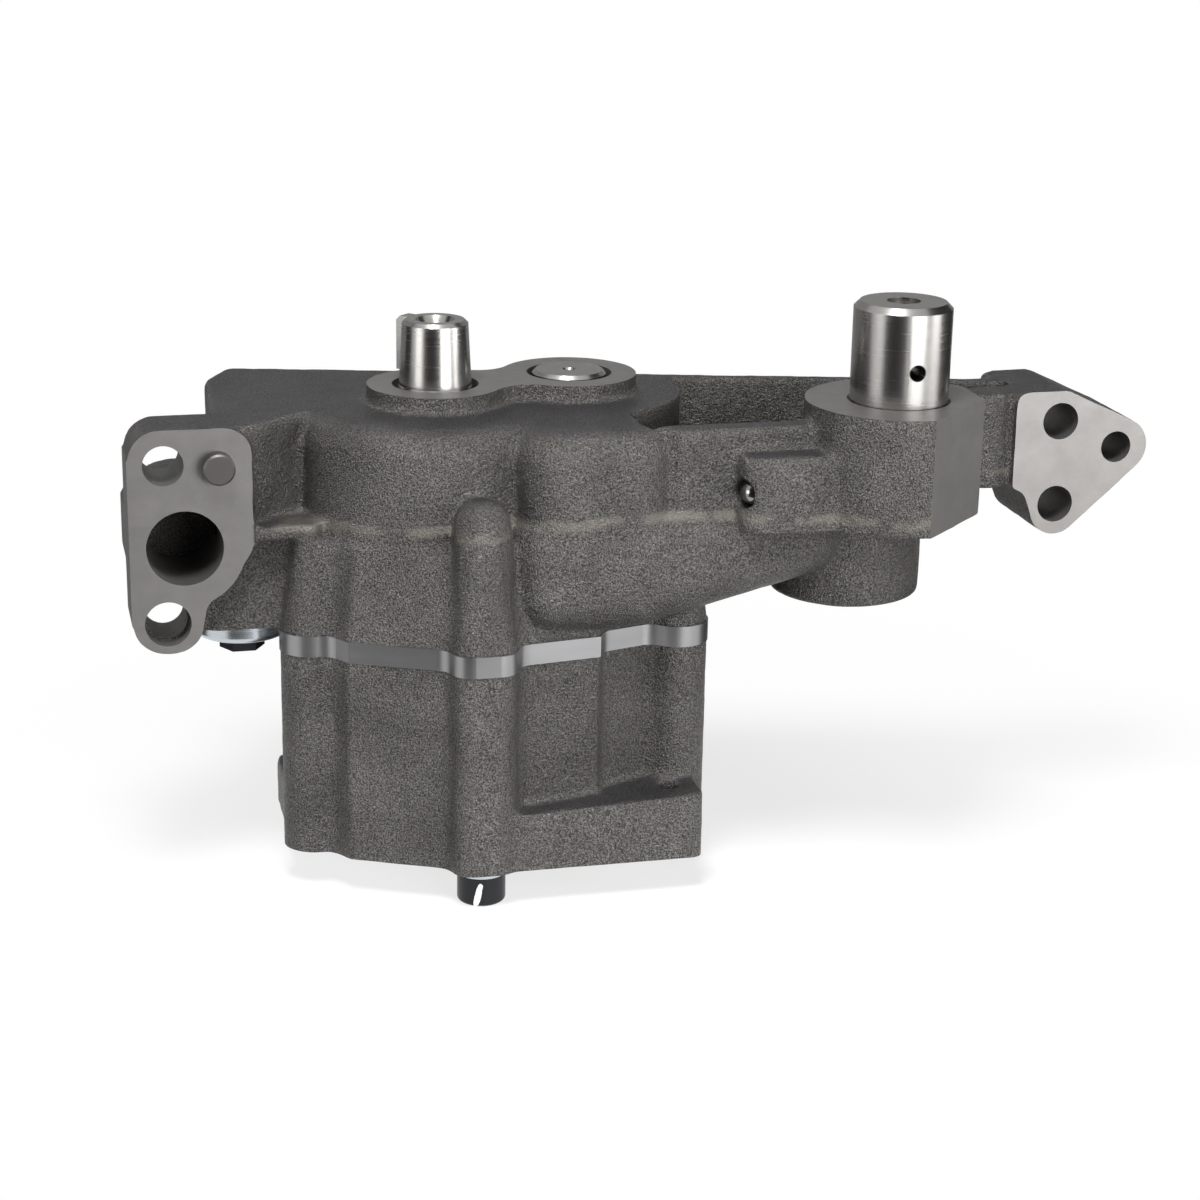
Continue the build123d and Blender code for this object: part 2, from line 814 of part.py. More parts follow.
def gear_outline():
    """One pump gear, with a tooth along the line to the other gear."""
    Circle(root_radius)
    radii = [base_radius + (tip_radius - base_radius) * step / 4 for step in range(5)]
    upper = [on_circle(radius, tooth_half_angle(radius)) for radius in radii]
    lower = [(x, -y) for x, y in upper]
    foot = on_circle(root_radius - 1, tooth_half_angle(base_radius))
    with BuildSketch(mode=Mode.PRIVATE) as tooth:
        with BuildLine():
            Line(foot, upper[0])
            Spline(*upper)
            ThreePointArc(upper[-1], (tip_radius, 0), lower[-1])
            Spline(*lower[::-1])
            Line(lower[0], (foot[0], -foot[1]))
            Line((foot[0], -foot[1]), foot)
        make_face()
    with PolarLocations(0, tooth_count, start_angle=pair_angle):
        add(tooth.sketch)


def pump_gear(place, name):
    """Gear on its shaft, with a hair of clearance at both faces."""
    with BuildPart() as gear:
        with BuildSketch(Plane.XY.offset(gear_bottom).shift_origin((*place, gear_bottom))):
            gear_outline()
            Circle(shaft_diameter / 2, mode=Mode.SUBTRACT)
        extrude(amount=gear_length)
    save(gear, name)


pump_gear(drive_at, "drive_gear")
pump_gear(driven_at, "driven_gear")

# Drive shaft with its tapered nose
with BuildPart() as drive_shaft:
    with BuildSketch(Plane.XZ):
        with BuildLine():
            Polyline(
                (0, shaft_bottom),
                (shaft_diameter / 2 - shaft_chamfer, shaft_bottom),
                (shaft_diameter / 2, shaft_bottom + shaft_chamfer),
                (shaft_diameter / 2, -taper_shoulder),
                (taper_base_diameter / 2, 0),
                (taper_top_diameter / 2, taper_length - shaft_chamfer),
                (taper_top_diameter / 2 - shaft_chamfer, taper_length),
                (0, taper_length),
                close=True,
            )
        make_face()
    revolve(axis=Axis.Z)
    with Locations((0, 0, taper_length)):
        CounterSinkHole(shaft_thread_diameter / 2, shaft_countersink / 2, shaft_thread_depth, 60)
    with BuildSketch(key_plane):
        with Locations((key_seat_radius + shaft_diameter / 2, taper_length - key_length / 2)):
            Rectangle(shaft_diameter, key_length)
    extrude(amount=key_width / 2, both=True, mode=Mode.SUBTRACT)

save(drive_shaft, "drive_shaft")

# Key in the taper
with BuildPart() as shaft_key:
    with BuildSketch(key_plane):
        with BuildLine():
            Polyline(
                (key_seat_radius, taper_length),
                (key_seat_radius, taper_length - key_length),
                (key_top_radius, taper_length - key_length),
                (key_top_radius, taper_length - key_nose),
                (key_top_radius - key_nose, taper_length),
                close=True,
            )
        make_face()
    extrude(amount=key_width / 2, both=True)

save(shaft_key, "shaft_key")

# Driven shaft
with BuildPart() as driven_shaft:
    with BuildSketch(Plane.XY.offset(shaft_bottom)):
        with Locations(driven_at):
            Circle(shaft_diameter / 2)
    extrude(amount=driven_shaft_proud - shaft_bottom)
    chamfer(driven_shaft.edges().filter_by(GeomType.CIRCLE), shaft_chamfer)
    with Locations((driven_x, driven_y, driven_shaft_proud)):
        CounterSinkHole(centre_drill_diameter / 4, centre_drill_diameter / 2, centre_drill_depth, 60)

save(driven_shaft, "driven_shaft")


def bushing(place, bottom, length, name):
    """Plain bronze bushing."""
    with BuildPart() as sleeve:
        with BuildSketch(Plane.XY.offset(bottom)):
            with Locations(place):
                Circle(bushing_outside / 2)
                Circle(bushing_bore / 2, mode=Mode.SUBTRACT)
        extrude(amount=length)
    save(sleeve, name)


bushing(drive_at, body_bottom, bushing_length_body, "drive_bushing_body")
bushing(driven_at, body_bottom, bushing_length_body, "driven_bushing_body")
bushing(drive_at, shaft_bottom, bushing_length_housing, "drive_bushing_housing")
bushing(driven_at, shaft_bottom, bushing_length_housing, "driven_bushing_housing")

# Pin that carries the idler gear
with BuildPart() as idler_pin:
    with BuildSketch(Plane.XY.offset(-pin_seat_depth)):
        with Locations(pin_at):
            Circle(pin_diameter / 2)
    extrude(amount=pin_seat_depth + pin_height)
    chamfer(idler_pin.edges().filter_by(GeomType.CIRCLE).group_by(Axis.Z)[-1], pin_chamfer)
    chamfer(idler_pin.edges().filter_by(GeomType.CIRCLE).group_by(Axis.Z)[0], pin_foot_chamfer)
    with BuildSketch(Plane.XY.offset(pin_height)):
        with Locations(pin_at):
            Circle(pin_plug_diameter / 2)
    extrude(amount=-pin_plug_length - pin_plug_recess, mode=Mode.SUBTRACT)
    with BuildSketch(Plane.XY.offset(-pin_seat_depth)):
        with Locations(pin_at):
            Circle(pin_core_diameter / 2)
    extrude(amount=pin_seat_depth + pin_height - pin_plug_length, mode=Mode.SUBTRACT)
    with BuildSketch(Plane.XZ.offset(-pin_y)):
        with Locations((pin_x, pin_oil_hole_height)):
            Circle(pin_oil_hole / 2)
    extrude(amount=pin_diameter, mode=Mode.SUBTRACT)

    # Relief groove at the boss face
    with BuildSketch():
        with Locations(pin_at):
            Circle(pin_diameter / 2 + 1)
            Circle(pin_diameter / 2 - pin_groove_depth, mode=Mode.SUBTRACT)
    extrude(amount=-pin_groove_width, mode=Mode.SUBTRACT)

    # Groove that the oil hole of the body opens into, with its own way to the core
    with BuildSketch(Plane.XY.offset(ball_height - pin_feed_width / 2)):
        with Locations(pin_at):
            Circle(pin_diameter / 2 + 1)
            Circle(pin_diameter / 2 - pin_feed_depth, mode=Mode.SUBTRACT)
    extrude(amount=pin_feed_width, mode=Mode.SUBTRACT)
    with BuildSketch(Plane.XZ.offset(-pin_y)):
        with Locations((pin_x, ball_height)):
            Circle(pin_oil_hole / 2)
    extrude(amount=pin_diameter, mode=Mode.SUBTRACT)

save(idler_pin, "idler_pin")

# Socket plug in the end of the pin
with BuildPart() as idler_pin_plug:
    with BuildSketch(Plane.XY.offset(pin_height - pin_plug_recess)):
        with Locations(pin_at):
            Circle(pin_plug_diameter / 2)
    extrude(amount=-pin_plug_length)
    with BuildSketch(Plane.XY.offset(pin_height - pin_plug_recess)):
        with Locations(pin_at):
            RegularPolygon(pin_plug_socket / 2, 6, major_radius=False)
    extrude(amount=-pin_plug_socket_depth, mode=Mode.SUBTRACT)

save(idler_pin_plug, "idler_pin_plug")

# Ball that closes the cross-drilled oil hole
with BuildPart() as oil_hole_ball:
    with Locations(oil_hole_plane.offset(-ball_hole_diameter / 2 - ball_recess)):
        Sphere(ball_hole_diameter / 2)

save(oil_hole_ball, "oil_hole_ball")

# Locating dowel in the left flange
with BuildPart() as flange_dowel:
    with BuildSketch(Plane.XZ.offset(flange_plane + dowel_proud)):
        with Locations((dowel_x, dowel_z)):
            Circle(dowel_diameter / 2)
    extrude(amount=-dowel_proud - dowel_seat)
    chamfer(flange_dowel.edges().filter_by(GeomType.CIRCLE), dowel_chamfer)

    # Relief groove at the flange face
    with BuildSketch(Plane.XZ.offset(flange_plane)):
        with Locations((dowel_x, dowel_z)):
            Circle(dowel_diameter / 2 + 1)
            Circle(dowel_diameter / 2 - dowel_groove_depth, mode=Mode.SUBTRACT)
    extrude(amount=-dowel_groove_width, mode=Mode.SUBTRACT)

save(flange_dowel, "flange_dowel")

# Relief valve plunger, a cup that is open downwards
with BuildPart() as relief_plunger:
    with BuildSketch(Plane.XY.offset(plunger_bottom)):
        with Locations(relief_at):
            Circle(plunger_diameter / 2)
    extrude(amount=plunger_length)
    with BuildSketch(Plane.XY.offset(plunger_bottom)):
        with Locations(relief_at):
            Circle(plunger_diameter / 2 - plunger_wall)
    extrude(amount=plunger_skirt, mode=Mode.SUBTRACT)

save(relief_plunger, "relief_plunger")

# Cap that closes the relief valve bore, zinc plated
with BuildPart() as relief_cap:
    with BuildSketch(Plane.XY.offset(body_bottom)):
        with Locations(relief_at):
            Circle(relief_cap_diameter / 2)
    extrude(amount=-relief_cap_thickness)
    fillet(relief_cap.edges().group_by(Axis.Z)[0], relief_cap_edge)
    with BuildSketch(Plane.XY.offset(body_bottom)):
        with Locations(relief_at):
            Circle(relief_bore / 2)
    extrude(amount=relief_cap_spigot)
    with Locations((relief_x, relief_y, body_bottom + relief_cap_spigot)):
        Hole(guide_bolt_diameter / 2)

save(relief_cap, "relief_cap")

# Bolt through the cap, which guides the spring
with BuildPart() as relief_guide_bolt:
    with BuildSketch(Plane.XY.offset(body_bottom - relief_cap_thickness)):
        with Locations(relief_at):
            RegularPolygon(guide_bolt_flats / 2, 6, major_radius=False)
    extrude(amount=-guide_bolt_head)
    with BuildSketch(Plane.XY.offset(body_bottom - relief_cap_thickness)):
        with Locations(relief_at):
            Circle(guide_bolt_diameter / 2)
    extrude(amount=guide_bolt_reach)

save(relief_guide_bolt, "relief_guide_bolt")

# Spring between the cap and the plunger
with BuildPart() as relief_spring:
    with BuildLine():
        Helix(
            spring_pitch,
            spring_pitch * spring_turns,
            spring_radius,
            center=(relief_x, relief_y, spring_foot + spring_wire / 2),
        )
    with BuildSketch(Plane.XZ.offset(-relief_y)):
        with Locations((relief_x + spring_radius, spring_foot + spring_wire / 2)):
            RegularPolygon(spring_wire / 2, 8)
    sweep(is_frenet=True)

save(relief_spring, "relief_spring")

# Socket head screws from below
with BuildPart() as housing_screws:
    for places, seat in screw_rows:
        with BuildSketch(Plane.XY.offset(seat - washer_thickness)):
            with Locations(places):
                Circle(screw_head_diameter / 2)
        extrude(amount=-screw_head_height)
        fillet(housing_screws.edges(Select.LAST).group_by(Axis.Z)[0], screw_head_edge)
        with BuildSketch(Plane.XY.offset(seat - washer_thickness)):
            with Locations(places):
                Circle(screw_diameter / 2)
        extrude(amount=screw_tip - seat + washer_thickness)
        with BuildSketch(Plane.XY.offset(seat - washer_thickness - screw_head_height)):
            with Locations(places):
                RegularPolygon(screw_socket / 2, 6, major_radius=False)
        extrude(amount=screw_head_height / 2, mode=Mode.SUBTRACT)

save(housing_screws, "housing_screws")

# Washers under the screw heads
with BuildPart() as screw_washers:
    for places, seat in screw_rows:
        with BuildSketch(Plane.XY.offset(seat)):
            with Locations(places):
                Circle(washer_diameter / 2)
                Circle(screw_hole / 2, mode=Mode.SUBTRACT)
        extrude(amount=-washer_thickness)

save(screw_washers, "screw_washers")

# Dowels that line up the body, the plate and the housing
with BuildPart() as housing_dowels:
    with BuildSketch(Plane.XY.offset(body_bottom + dowel_end - locating_dowel_gap)):
        with Locations(dowel_places):
            Circle(locating_dowel_diameter / 2)
    extrude(amount=-locating_dowel_length)

save(housing_dowels, "housing_dowels")
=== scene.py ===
"""Looks of the engine oil pump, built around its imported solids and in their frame, in metres."""
import json
import math
from collections import namedtuple

import bmesh
import bpy
import numpy as np
from bpy.props import FloatProperty, FloatVectorProperty, IntProperty, PointerProperty
from mathutils import Matrix, Vector, noise


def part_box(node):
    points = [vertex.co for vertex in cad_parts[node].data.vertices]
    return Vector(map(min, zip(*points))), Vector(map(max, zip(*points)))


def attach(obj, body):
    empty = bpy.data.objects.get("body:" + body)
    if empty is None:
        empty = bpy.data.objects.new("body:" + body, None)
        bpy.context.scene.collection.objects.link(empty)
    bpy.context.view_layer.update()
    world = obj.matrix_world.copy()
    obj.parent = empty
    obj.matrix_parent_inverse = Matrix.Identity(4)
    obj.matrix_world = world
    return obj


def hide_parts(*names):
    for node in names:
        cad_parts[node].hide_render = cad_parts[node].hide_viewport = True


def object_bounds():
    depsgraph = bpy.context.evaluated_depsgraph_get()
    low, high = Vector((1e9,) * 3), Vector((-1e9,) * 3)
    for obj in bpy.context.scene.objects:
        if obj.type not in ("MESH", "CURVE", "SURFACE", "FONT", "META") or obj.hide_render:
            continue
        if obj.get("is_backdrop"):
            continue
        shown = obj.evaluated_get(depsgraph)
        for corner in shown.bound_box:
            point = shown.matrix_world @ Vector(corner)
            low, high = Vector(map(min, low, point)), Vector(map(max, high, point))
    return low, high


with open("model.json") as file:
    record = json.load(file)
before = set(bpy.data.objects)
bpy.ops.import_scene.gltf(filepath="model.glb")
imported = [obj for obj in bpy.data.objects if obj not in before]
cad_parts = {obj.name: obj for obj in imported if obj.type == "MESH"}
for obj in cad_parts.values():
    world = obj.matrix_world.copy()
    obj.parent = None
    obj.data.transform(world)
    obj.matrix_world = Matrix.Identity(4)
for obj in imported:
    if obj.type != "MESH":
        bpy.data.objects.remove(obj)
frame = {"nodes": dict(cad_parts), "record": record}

bl_info = {
    "name": "Engine oil pump",
    "version": (1, 0, 0),
    "blender": (4, 5, 0),
    "location": "View3D > Sidebar > Oil pump",
    "description": "Castings, shafts and fastenings of a gear-type engine oil pump",
    "category": "Add Mesh",
}

MM = 0.001
UP = Vector((0, 0, 1))
DOWN = Vector((0, 0, -1))
FRONT = Vector((0, -1, 0))
BACK = Vector((0, 1, 0))
RIGHT = Vector((1, 0, 0))
LEFT = Vector((-1, 0, 0))

# A machined flat: its middle, its outward normal, its size across and upwards.
Facing = namedtuple("Facing", "middle normal wide high")
# A bore: the middle of its mouth, its direction out of the mouth, radius, depth, mouth chamfer,
# and whether its mouth is in a machined flat.
Bore = namedtuple("Bore", "mouth axis radius depth flare flat_mouth", defaults=(0.0, True))


def middle_of(node):
    """Middle of a node's box."""
    low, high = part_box(node)
    return (low + high) / 2


def radius_of(node):
    """Radius of an upright round node."""
    low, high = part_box(node)
    return (high.x - low.x) / 2


def millimetres(*places):
    """Places in the ground plane, given in millimetres."""
    return tuple(Vector((x, y, 0)) * MM for x, y in places)


def at_height(place, height):
    """A place in the ground plane, lifted to a height."""
    return Vector((place.x, place.y, height))


MOUNTS = {
    mount["name"]: (Vector(mount["pos_m"]), mount["dims"]) for mount in frame["record"]["mounts"]
}

# Levels of the joint faces, and places of the upright axes, from the solids
BODY_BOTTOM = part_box("wear_plate")[1].z
HOUSING_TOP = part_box("wear_plate")[0].z
HOUSING_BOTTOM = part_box("gear_housing")[0].z
CHAMBER_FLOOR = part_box("drive_bushing_housing")[1].z
DRIVE = Vector((0, 0, 0))
DRIVEN = at_height(middle_of("driven_shaft"), 0)
PIN = at_height(middle_of("idler_pin"), 0)
RELIEF = at_height(middle_of("relief_plunger"), 0)
BUSHING_RADIUS = radius_of("drive_bushing_body")
LEFT_PLANE = MOUNTS["left_flange_face"][0].y
RIGHT_PLANE = MOUNTS["right_flange_face"][0].y
INLET = MOUNTS["inlet_port"][0]

# Sizes that the frame doesn't state, the same as in the solids
PIN_SEAT = 34 * MM
PIN_MOUTH_CHAMFER = 0.8 * MM
PIN_BLOCK_DEPTH = 39 * MM
PIN_FLAT_ANGLE = math.radians(-46)
PIN_FLAT_REACH = 23.3 * MM
LEFT_FLANGE_THICKNESS = 22 * MM
LEFT_FLANGE_WIDTH = 41.6 * MM
LEFT_EDGE = -103 * MM
RING_RECESS_RADIUS = 7.4 * MM
RING_RECESS_DEPTH = 6 * MM
DOWEL_SEAT = 12 * MM
OIL_HOLE_ANGLE = math.radians(21)
OIL_HOLE_SHARE = 0.8
BALL_RECESS = 1 * MM
RELIEF_BORE_RADIUS = 8 * MM
RELIEF_BORE_TOP = -39 * MM
CHAMBER_RADIUS = 29.28 * MM
PORT_WINDOW = 26 * MM
BUSHING_SEAT = 15.5 * MM
SUCTION_PASSAGE_RADIUS = 12 * MM
SUCTION_BOLT_DEPTH = 11 * MM
FOOT_HOLE_DEPTH = 26 * MM
SCREW_HOLE_RADIUS = 5.3 * MM
SCREW_THREAD_RADIUS = 5.0 * MM
SCREW_GRIP = 18 * MM
COUNTERBORE_RADIUS = 8.6 * MM
COUNTERBORE_DEPTH = 12 * MM
DOWEL_HOLE_RADIUS = 4 * MM
DOWEL_HOLE_DEPTH = 7 * MM
FRONT_SCREW, *OTHER_SCREWS = millimetres((5.6, -53), (92, 36), (40, 60.5), (-27, 43))
RECESSED_SCREWS = millimetres((-45.3, -23), (75, -35.3))
SCREWS = (FRONT_SCREW, *OTHER_SCREWS, *RECESSED_SCREWS)
LOCATING_RADIUS = 38 * MM
DRIVE_DOWEL_ANGLE = math.radians(165)
DRIVEN_DOWEL_ANGLE = math.radians(-15)
HOUSING_DOWELS = tuple(
    centre + Vector((math.cos(turn), math.sin(turn), 0)) * LOCATING_RADIUS
    for centre, turn in ((DRIVE, DRIVE_DOWEL_ANGLE), (DRIVEN, DRIVEN_DOWEL_ANGLE)))
PARTING_HEIGHT = -38.5 * MM

# The side foot is lowered left of RIGHT and narrowed left of ROOT, clear of the screw's lug
SIDE_FOOT_RIGHT = -40 * MM
SIDE_FOOT_ROOT = -51 * MM
SIDE_FOOT_SHOULDER = 27 * MM
SIDE_FOOT_TOP = 33 * MM
SIDE_FOOT_DROP = 16 * MM
SIDE_FOOT_SHARE = 0.3
LUG_RADIUS = 10.7 * MM

# Waves of the cast skin: their length, and how many heights the skin sinks below the solid's
WAVE_LENGTH = 9 * MM
WAVE_SINK = 2.0

# Cosines within which a face looks along a flat's normal, or across a bore's axis
ALONG_NORMAL = 0.999
ACROSS_AXIS = 0.1

# How far cutters stand out of the metal, and plugs stay short of or past what is cut later
CUTTER_REACH = 12 * MM
PLUG_BELOW_SKIN = 0.4 * MM
PLUG_SHORT_OF_END = 0.5 * MM
PLUG_IN_WALL = 0.6 * MM

# Sides of a round cutter or plug
ROUND_SIDES = 96

# Where the drive shaft's origin shows in the picture, in its pixels from the top left
PICTURE_PIXELS = 1200
ORIGIN_PIXEL = (435.2, 383.0)

# The floor reaches far past the picture, and turns white between two distances from its middle
FLOOR_REACH = 6.0
FLOOR_MIDDLE_X = 0.07
FLOOR_SHADE_REACH = 0.06
FLOOR_WHITE_FROM = 0.30

# The screens stand in a ring round the pump, and the floor part begins nearer to it
SCREEN_NEAR = 0.22
SCREEN_RADIUS = 0.5
SCREEN_HEIGHT = 0.75
SCREEN_STEPS = 24


def mount_bore(name, axis, spare=0.0):
    """The bore of a mount, a little deeper where it runs through."""
    place, sizes = MOUNTS[name]
    return Bore(place, axis, sizes["r_mm"] * MM, sizes["length_mm"] * MM + spare)


def flange_bolt_bores(name, plane, depth):
    """The two bolt holes of a flange, the upper one first."""
    place, sizes = MOUNTS[name]
    half = sizes["spacing_y_mm"] * MM / 2
    return [Bore(Vector((place.x, plane, place.z + lift)), FRONT, sizes["hole_r_mm"] * MM, depth)
            for lift in (half, -half)]


def upper_facings():
    """Machined flats of the upper casting."""
    out = Vector((math.cos(PIN_FLAT_ANGLE), math.sin(PIN_FLAT_ANGLE), 0))
    flat = at_height(PIN, -PIN_BLOCK_DEPTH / 2) + out * PIN_FLAT_REACH
    return (
        # Tops of the figure-of-eight and of the pin block
        Facing(Vector((80, -22.5, 0)) * MM, UP, 220 * MM, 135 * MM),
        # Left flange, its face and its edge
        Facing(Vector((-84 * MM, LEFT_PLANE, -42 * MM)), FRONT, LEFT_FLANGE_WIDTH, 96 * MM),
        Facing(Vector((LEFT_EDGE, -5 * MM, -42 * MM)), LEFT, 60 * MM, 96 * MM),
        # Right flange
        Facing(Vector((226 * MM, RIGHT_PLANE, -34.5 * MM)), FRONT, 72 * MM, 81 * MM),
        # Joint face, and the flat on the corner of the pin block
        Facing(Vector((13.2 * MM, 0, BODY_BOTTOM)), DOWN, 187.5 * MM, 150 * MM),
        Facing(flat, out, 48 * MM, PIN_BLOCK_DEPTH + 10 * MM),
    )


def upper_bores():
    """Machined bores of the upper casting."""
    left = flange_bolt_bores("left_flange_bolts", LEFT_PLANE, LEFT_FLANGE_THICKNESS + MM)
    right_depth = MOUNTS["right_flange_locating_hole"][1]["length_mm"] * MM + MM
    ball, ball_radius = middle_of("oil_hole_ball"), radius_of("oil_hole_ball")
    hole_out = -Vector((math.cos(OIL_HOLE_ANGLE), math.sin(OIL_HOLE_ANGLE), 0))
    hole_mouth = ball + hole_out * (ball_radius + BALL_RECESS)
    dowel = middle_of("flange_dowel")
    return (
        *(Bore(place, UP, BUSHING_RADIUS, -BODY_BOTTOM + MM) for place in (DRIVE, DRIVEN)),
        Bore(PIN, UP, radius_of("idler_pin"), PIN_SEAT, PIN_MOUTH_CHAMFER),
        mount_bore("outlet_port", FRONT),
        *left,
        Bore(left[1].mouth, FRONT, RING_RECESS_RADIUS, RING_RECESS_DEPTH),
        Bore(Vector((dowel.x, LEFT_PLANE, dowel.z)), FRONT,
             MOUNTS["left_flange_dowel"][1]["r_mm"] * MM, DOWEL_SEAT),
        *flange_bolt_bores("right_flange_bolts", RIGHT_PLANE, right_depth),
        mount_bore("right_flange_locating_hole", FRONT, MM),
        Bore(hole_mouth, hole_out, ball_radius, (PIN.x - hole_mouth.x) * OIL_HOLE_SHARE,
             flat_mouth=False),
        Bore(at_height(RELIEF, BODY_BOTTOM), DOWN, RELIEF_BORE_RADIUS,
             RELIEF_BORE_TOP - BODY_BOTTOM),
        *(Bore(at_height(place, BODY_BOTTOM), DOWN, SCREW_THREAD_RADIUS, SCREW_GRIP)
          for place in SCREWS),
        *(Bore(at_height(place, BODY_BOTTOM), DOWN, DOWEL_HOLE_RADIUS, DOWEL_HOLE_DEPTH)
          for place in HOUSING_DOWELS),
    )


def housing_facings():
    """Machined flats of the gear housing."""
    return (
        Facing(Vector((23 * MM, 0, HOUSING_TOP)), UP, 190 * MM, 160 * MM),
        Facing(Vector((23 * MM, 0, HOUSING_BOTTOM)), DOWN, 190 * MM, 160 * MM),
        Facing(INLET.copy(), BACK, 90 * MM, 60 * MM),
    )


def housing_bores():
    """Machined bores of the gear housing."""
    height = HOUSING_TOP - HOUSING_BOTTOM
    bolts, bolt_sizes = MOUNTS["inlet_bolts"]
    bolt_reach = bolt_sizes["spacing_x_mm"] * MM / 2
    return (
        *(Bore(at_height(place, HOUSING_TOP), UP, CHAMBER_RADIUS, HOUSING_TOP - CHAMBER_FLOOR)
          for place in (DRIVE, DRIVEN)),
        *(Bore(at_height(place, CHAMBER_FLOOR), UP, BUSHING_RADIUS, BUSHING_SEAT)
          for place in (DRIVE, DRIVEN)),
        mount_bore("inlet_port", BACK),
        Bore(INLET.copy(), BACK, SUCTION_PASSAGE_RADIUS, INLET.y - DRIVEN.y),
        *(Bore(Vector((bolts.x + side, INLET.y, bolts.z)), BACK, bolt_sizes["hole_r_mm"] * MM,
               SUCTION_BOLT_DEPTH) for side in (bolt_reach, -bolt_reach)),
        *(Bore(at_height(place, HOUSING_BOTTOM), DOWN, SCREW_HOLE_RADIUS, height + MM)
          for place in SCREWS),
        *(Bore(at_height(place, HOUSING_BOTTOM), DOWN, COUNTERBORE_RADIUS, COUNTERBORE_DEPTH)
          for place in RECESSED_SCREWS),
        *(Bore(at_height(place, HOUSING_TOP), UP, DOWEL_HOLE_RADIUS, DOWEL_HOLE_DEPTH)
          for place in HOUSING_DOWELS),
        Bore(at_height(MOUNTS["foot_bracket_hole"][0], HOUSING_BOTTOM), DOWN,
             MOUNTS["foot_bracket_hole"][1]["r_mm"] * MM, FOOT_HOLE_DEPTH, flat_mouth=False),
    )


def linear(code):
    """Linear red, green and blue of an sRGB hex colour."""
    parts = [int(code[i:i + 2], 16) / 255 for i in (0, 2, 4)]
    return tuple(c / 12.92 if c <= 0.04045 else ((c + 0.055) / 1.055) ** 2.4 for c in parts)


def colour_property(name, description, code):
    """A colour that the user can change."""
    return FloatVectorProperty(
        name=name, description=description, default=linear(code), size=3, min=0, max=1,
        subtype="COLOR")


def length_property(name, description, default, least=0.0):
    """A length that the user can change."""
    return FloatProperty(
        name=name, description=description, default=default, min=least, subtype="DISTANCE",
        unit="LENGTH")


class CastingSettings(bpy.types.PropertyGroup):
    """Sizes and colours of the two iron castings."""

    cell: length_property("Cell", "Mesh size of the cast skin", 1.0 * MM, 0.4 * MM)
    allowance: length_property(
        "Allowance", "Metal that machining takes off a cast face", 3.0 * MM, 1.0 * MM)
    rounding: IntProperty(
        name="Rounding", description="Passes that round the cast corners", default=8, min=0)
    unevenness: length_property("Unevenness", "Height of the waves in the cast skin", 0.16 * MM)
    flash_height: length_property("Flash", "Height of the seam where the moulds met", 0.25 * MM)
    iron_dark: colour_property("Dark iron", "Low spots of the blasted skin", "383736")
    # The light colour is partly the high spots of the grain and partly painted glints
    iron_light: colour_property("Light iron", "High spots of the blasted skin and painted glints", "827f7c")
    # Painted shade: this darker colour stands in for the soft top light on the cast faces on top
    iron_top_painted_shade: colour_property("Top painted shade", "Painted shade on the smooth cast faces on top", "36363a")
    iron_flash: colour_property("Ground flash", "Seam of the moulds, ground off", "7c7871")
    machined: colour_property("Milled iron", "Milled faces of the castings", "7e7c7a")


class MetalSettings(bpy.types.PropertyGroup):
    """Colours of the steel, bronze and plated pieces."""

    turned: colour_property("Turned steel", "Shafts and idler pin", "a09e9b")
    dull: colour_property("Dull steel", "Dowels and the plug of the pin", "5e5c5a")
    ground: colour_property("Ground steel", "Plate between the castings, gears", "8f8f90")
    zinc: colour_property("Zinc", "Plating on the cap and the washers", "c4cbd0")
    oxide: colour_property("Black oxide", "Screws and guide bolt", "202124")
    bronze: colour_property("Bronze", "Bushings", "a5834f")
    paint: colour_property("Paint", "Paint mark on the front screw", "f0f0ee")


class StageSettings(bpy.types.PropertyGroup):
    """Camera, lamps and floor."""

    azimuth: FloatProperty(
        name="Azimuth", description="Turn of the camera round the pump",
        default=math.radians(-14.0), subtype="ANGLE")
    elevation: FloatProperty(
        name="Elevation", description="How far the camera looks down",
        default=math.radians(17.7), subtype="ANGLE")
    roll: FloatProperty(
        name="Roll", description="Tilt of the camera about its line of sight",
        default=math.radians(-1.06), subtype="ANGLE")
    distance: length_property(
        "Distance", "Camera to the drive shaft, along the line of sight", 0.8448)
    lens: FloatProperty(
        name="Lens", description="Focal length for a sensor 36 mm wide", default=76.8,
        subtype="DISTANCE_CAMERA")
    floor: colour_property("Floor", "Colour of the floor", "f2f2f2")


def add_node(tree, kind, inputs=None, **settings):
    """Adds a node, sets its properties, and fills its sockets with values or links."""
    node = tree.nodes.new(kind)
    for name, value in settings.items():
        setattr(node, name, value)
    for name, value in (inputs or {}).items():
        if isinstance(value, bpy.types.NodeSocket):
            tree.links.new(value, node.inputs[name])
        else:
            node.inputs[name].default_value = value
    return node


def new_material(name):
    """An empty node material, and its tree."""
    material = bpy.data.materials.new(name)
    material.use_nodes = True
    material.node_tree.nodes.clear()
    return material, material.node_tree


def rgba(colour):
    """A colour with full opacity."""
    return (*colour, 1.0)


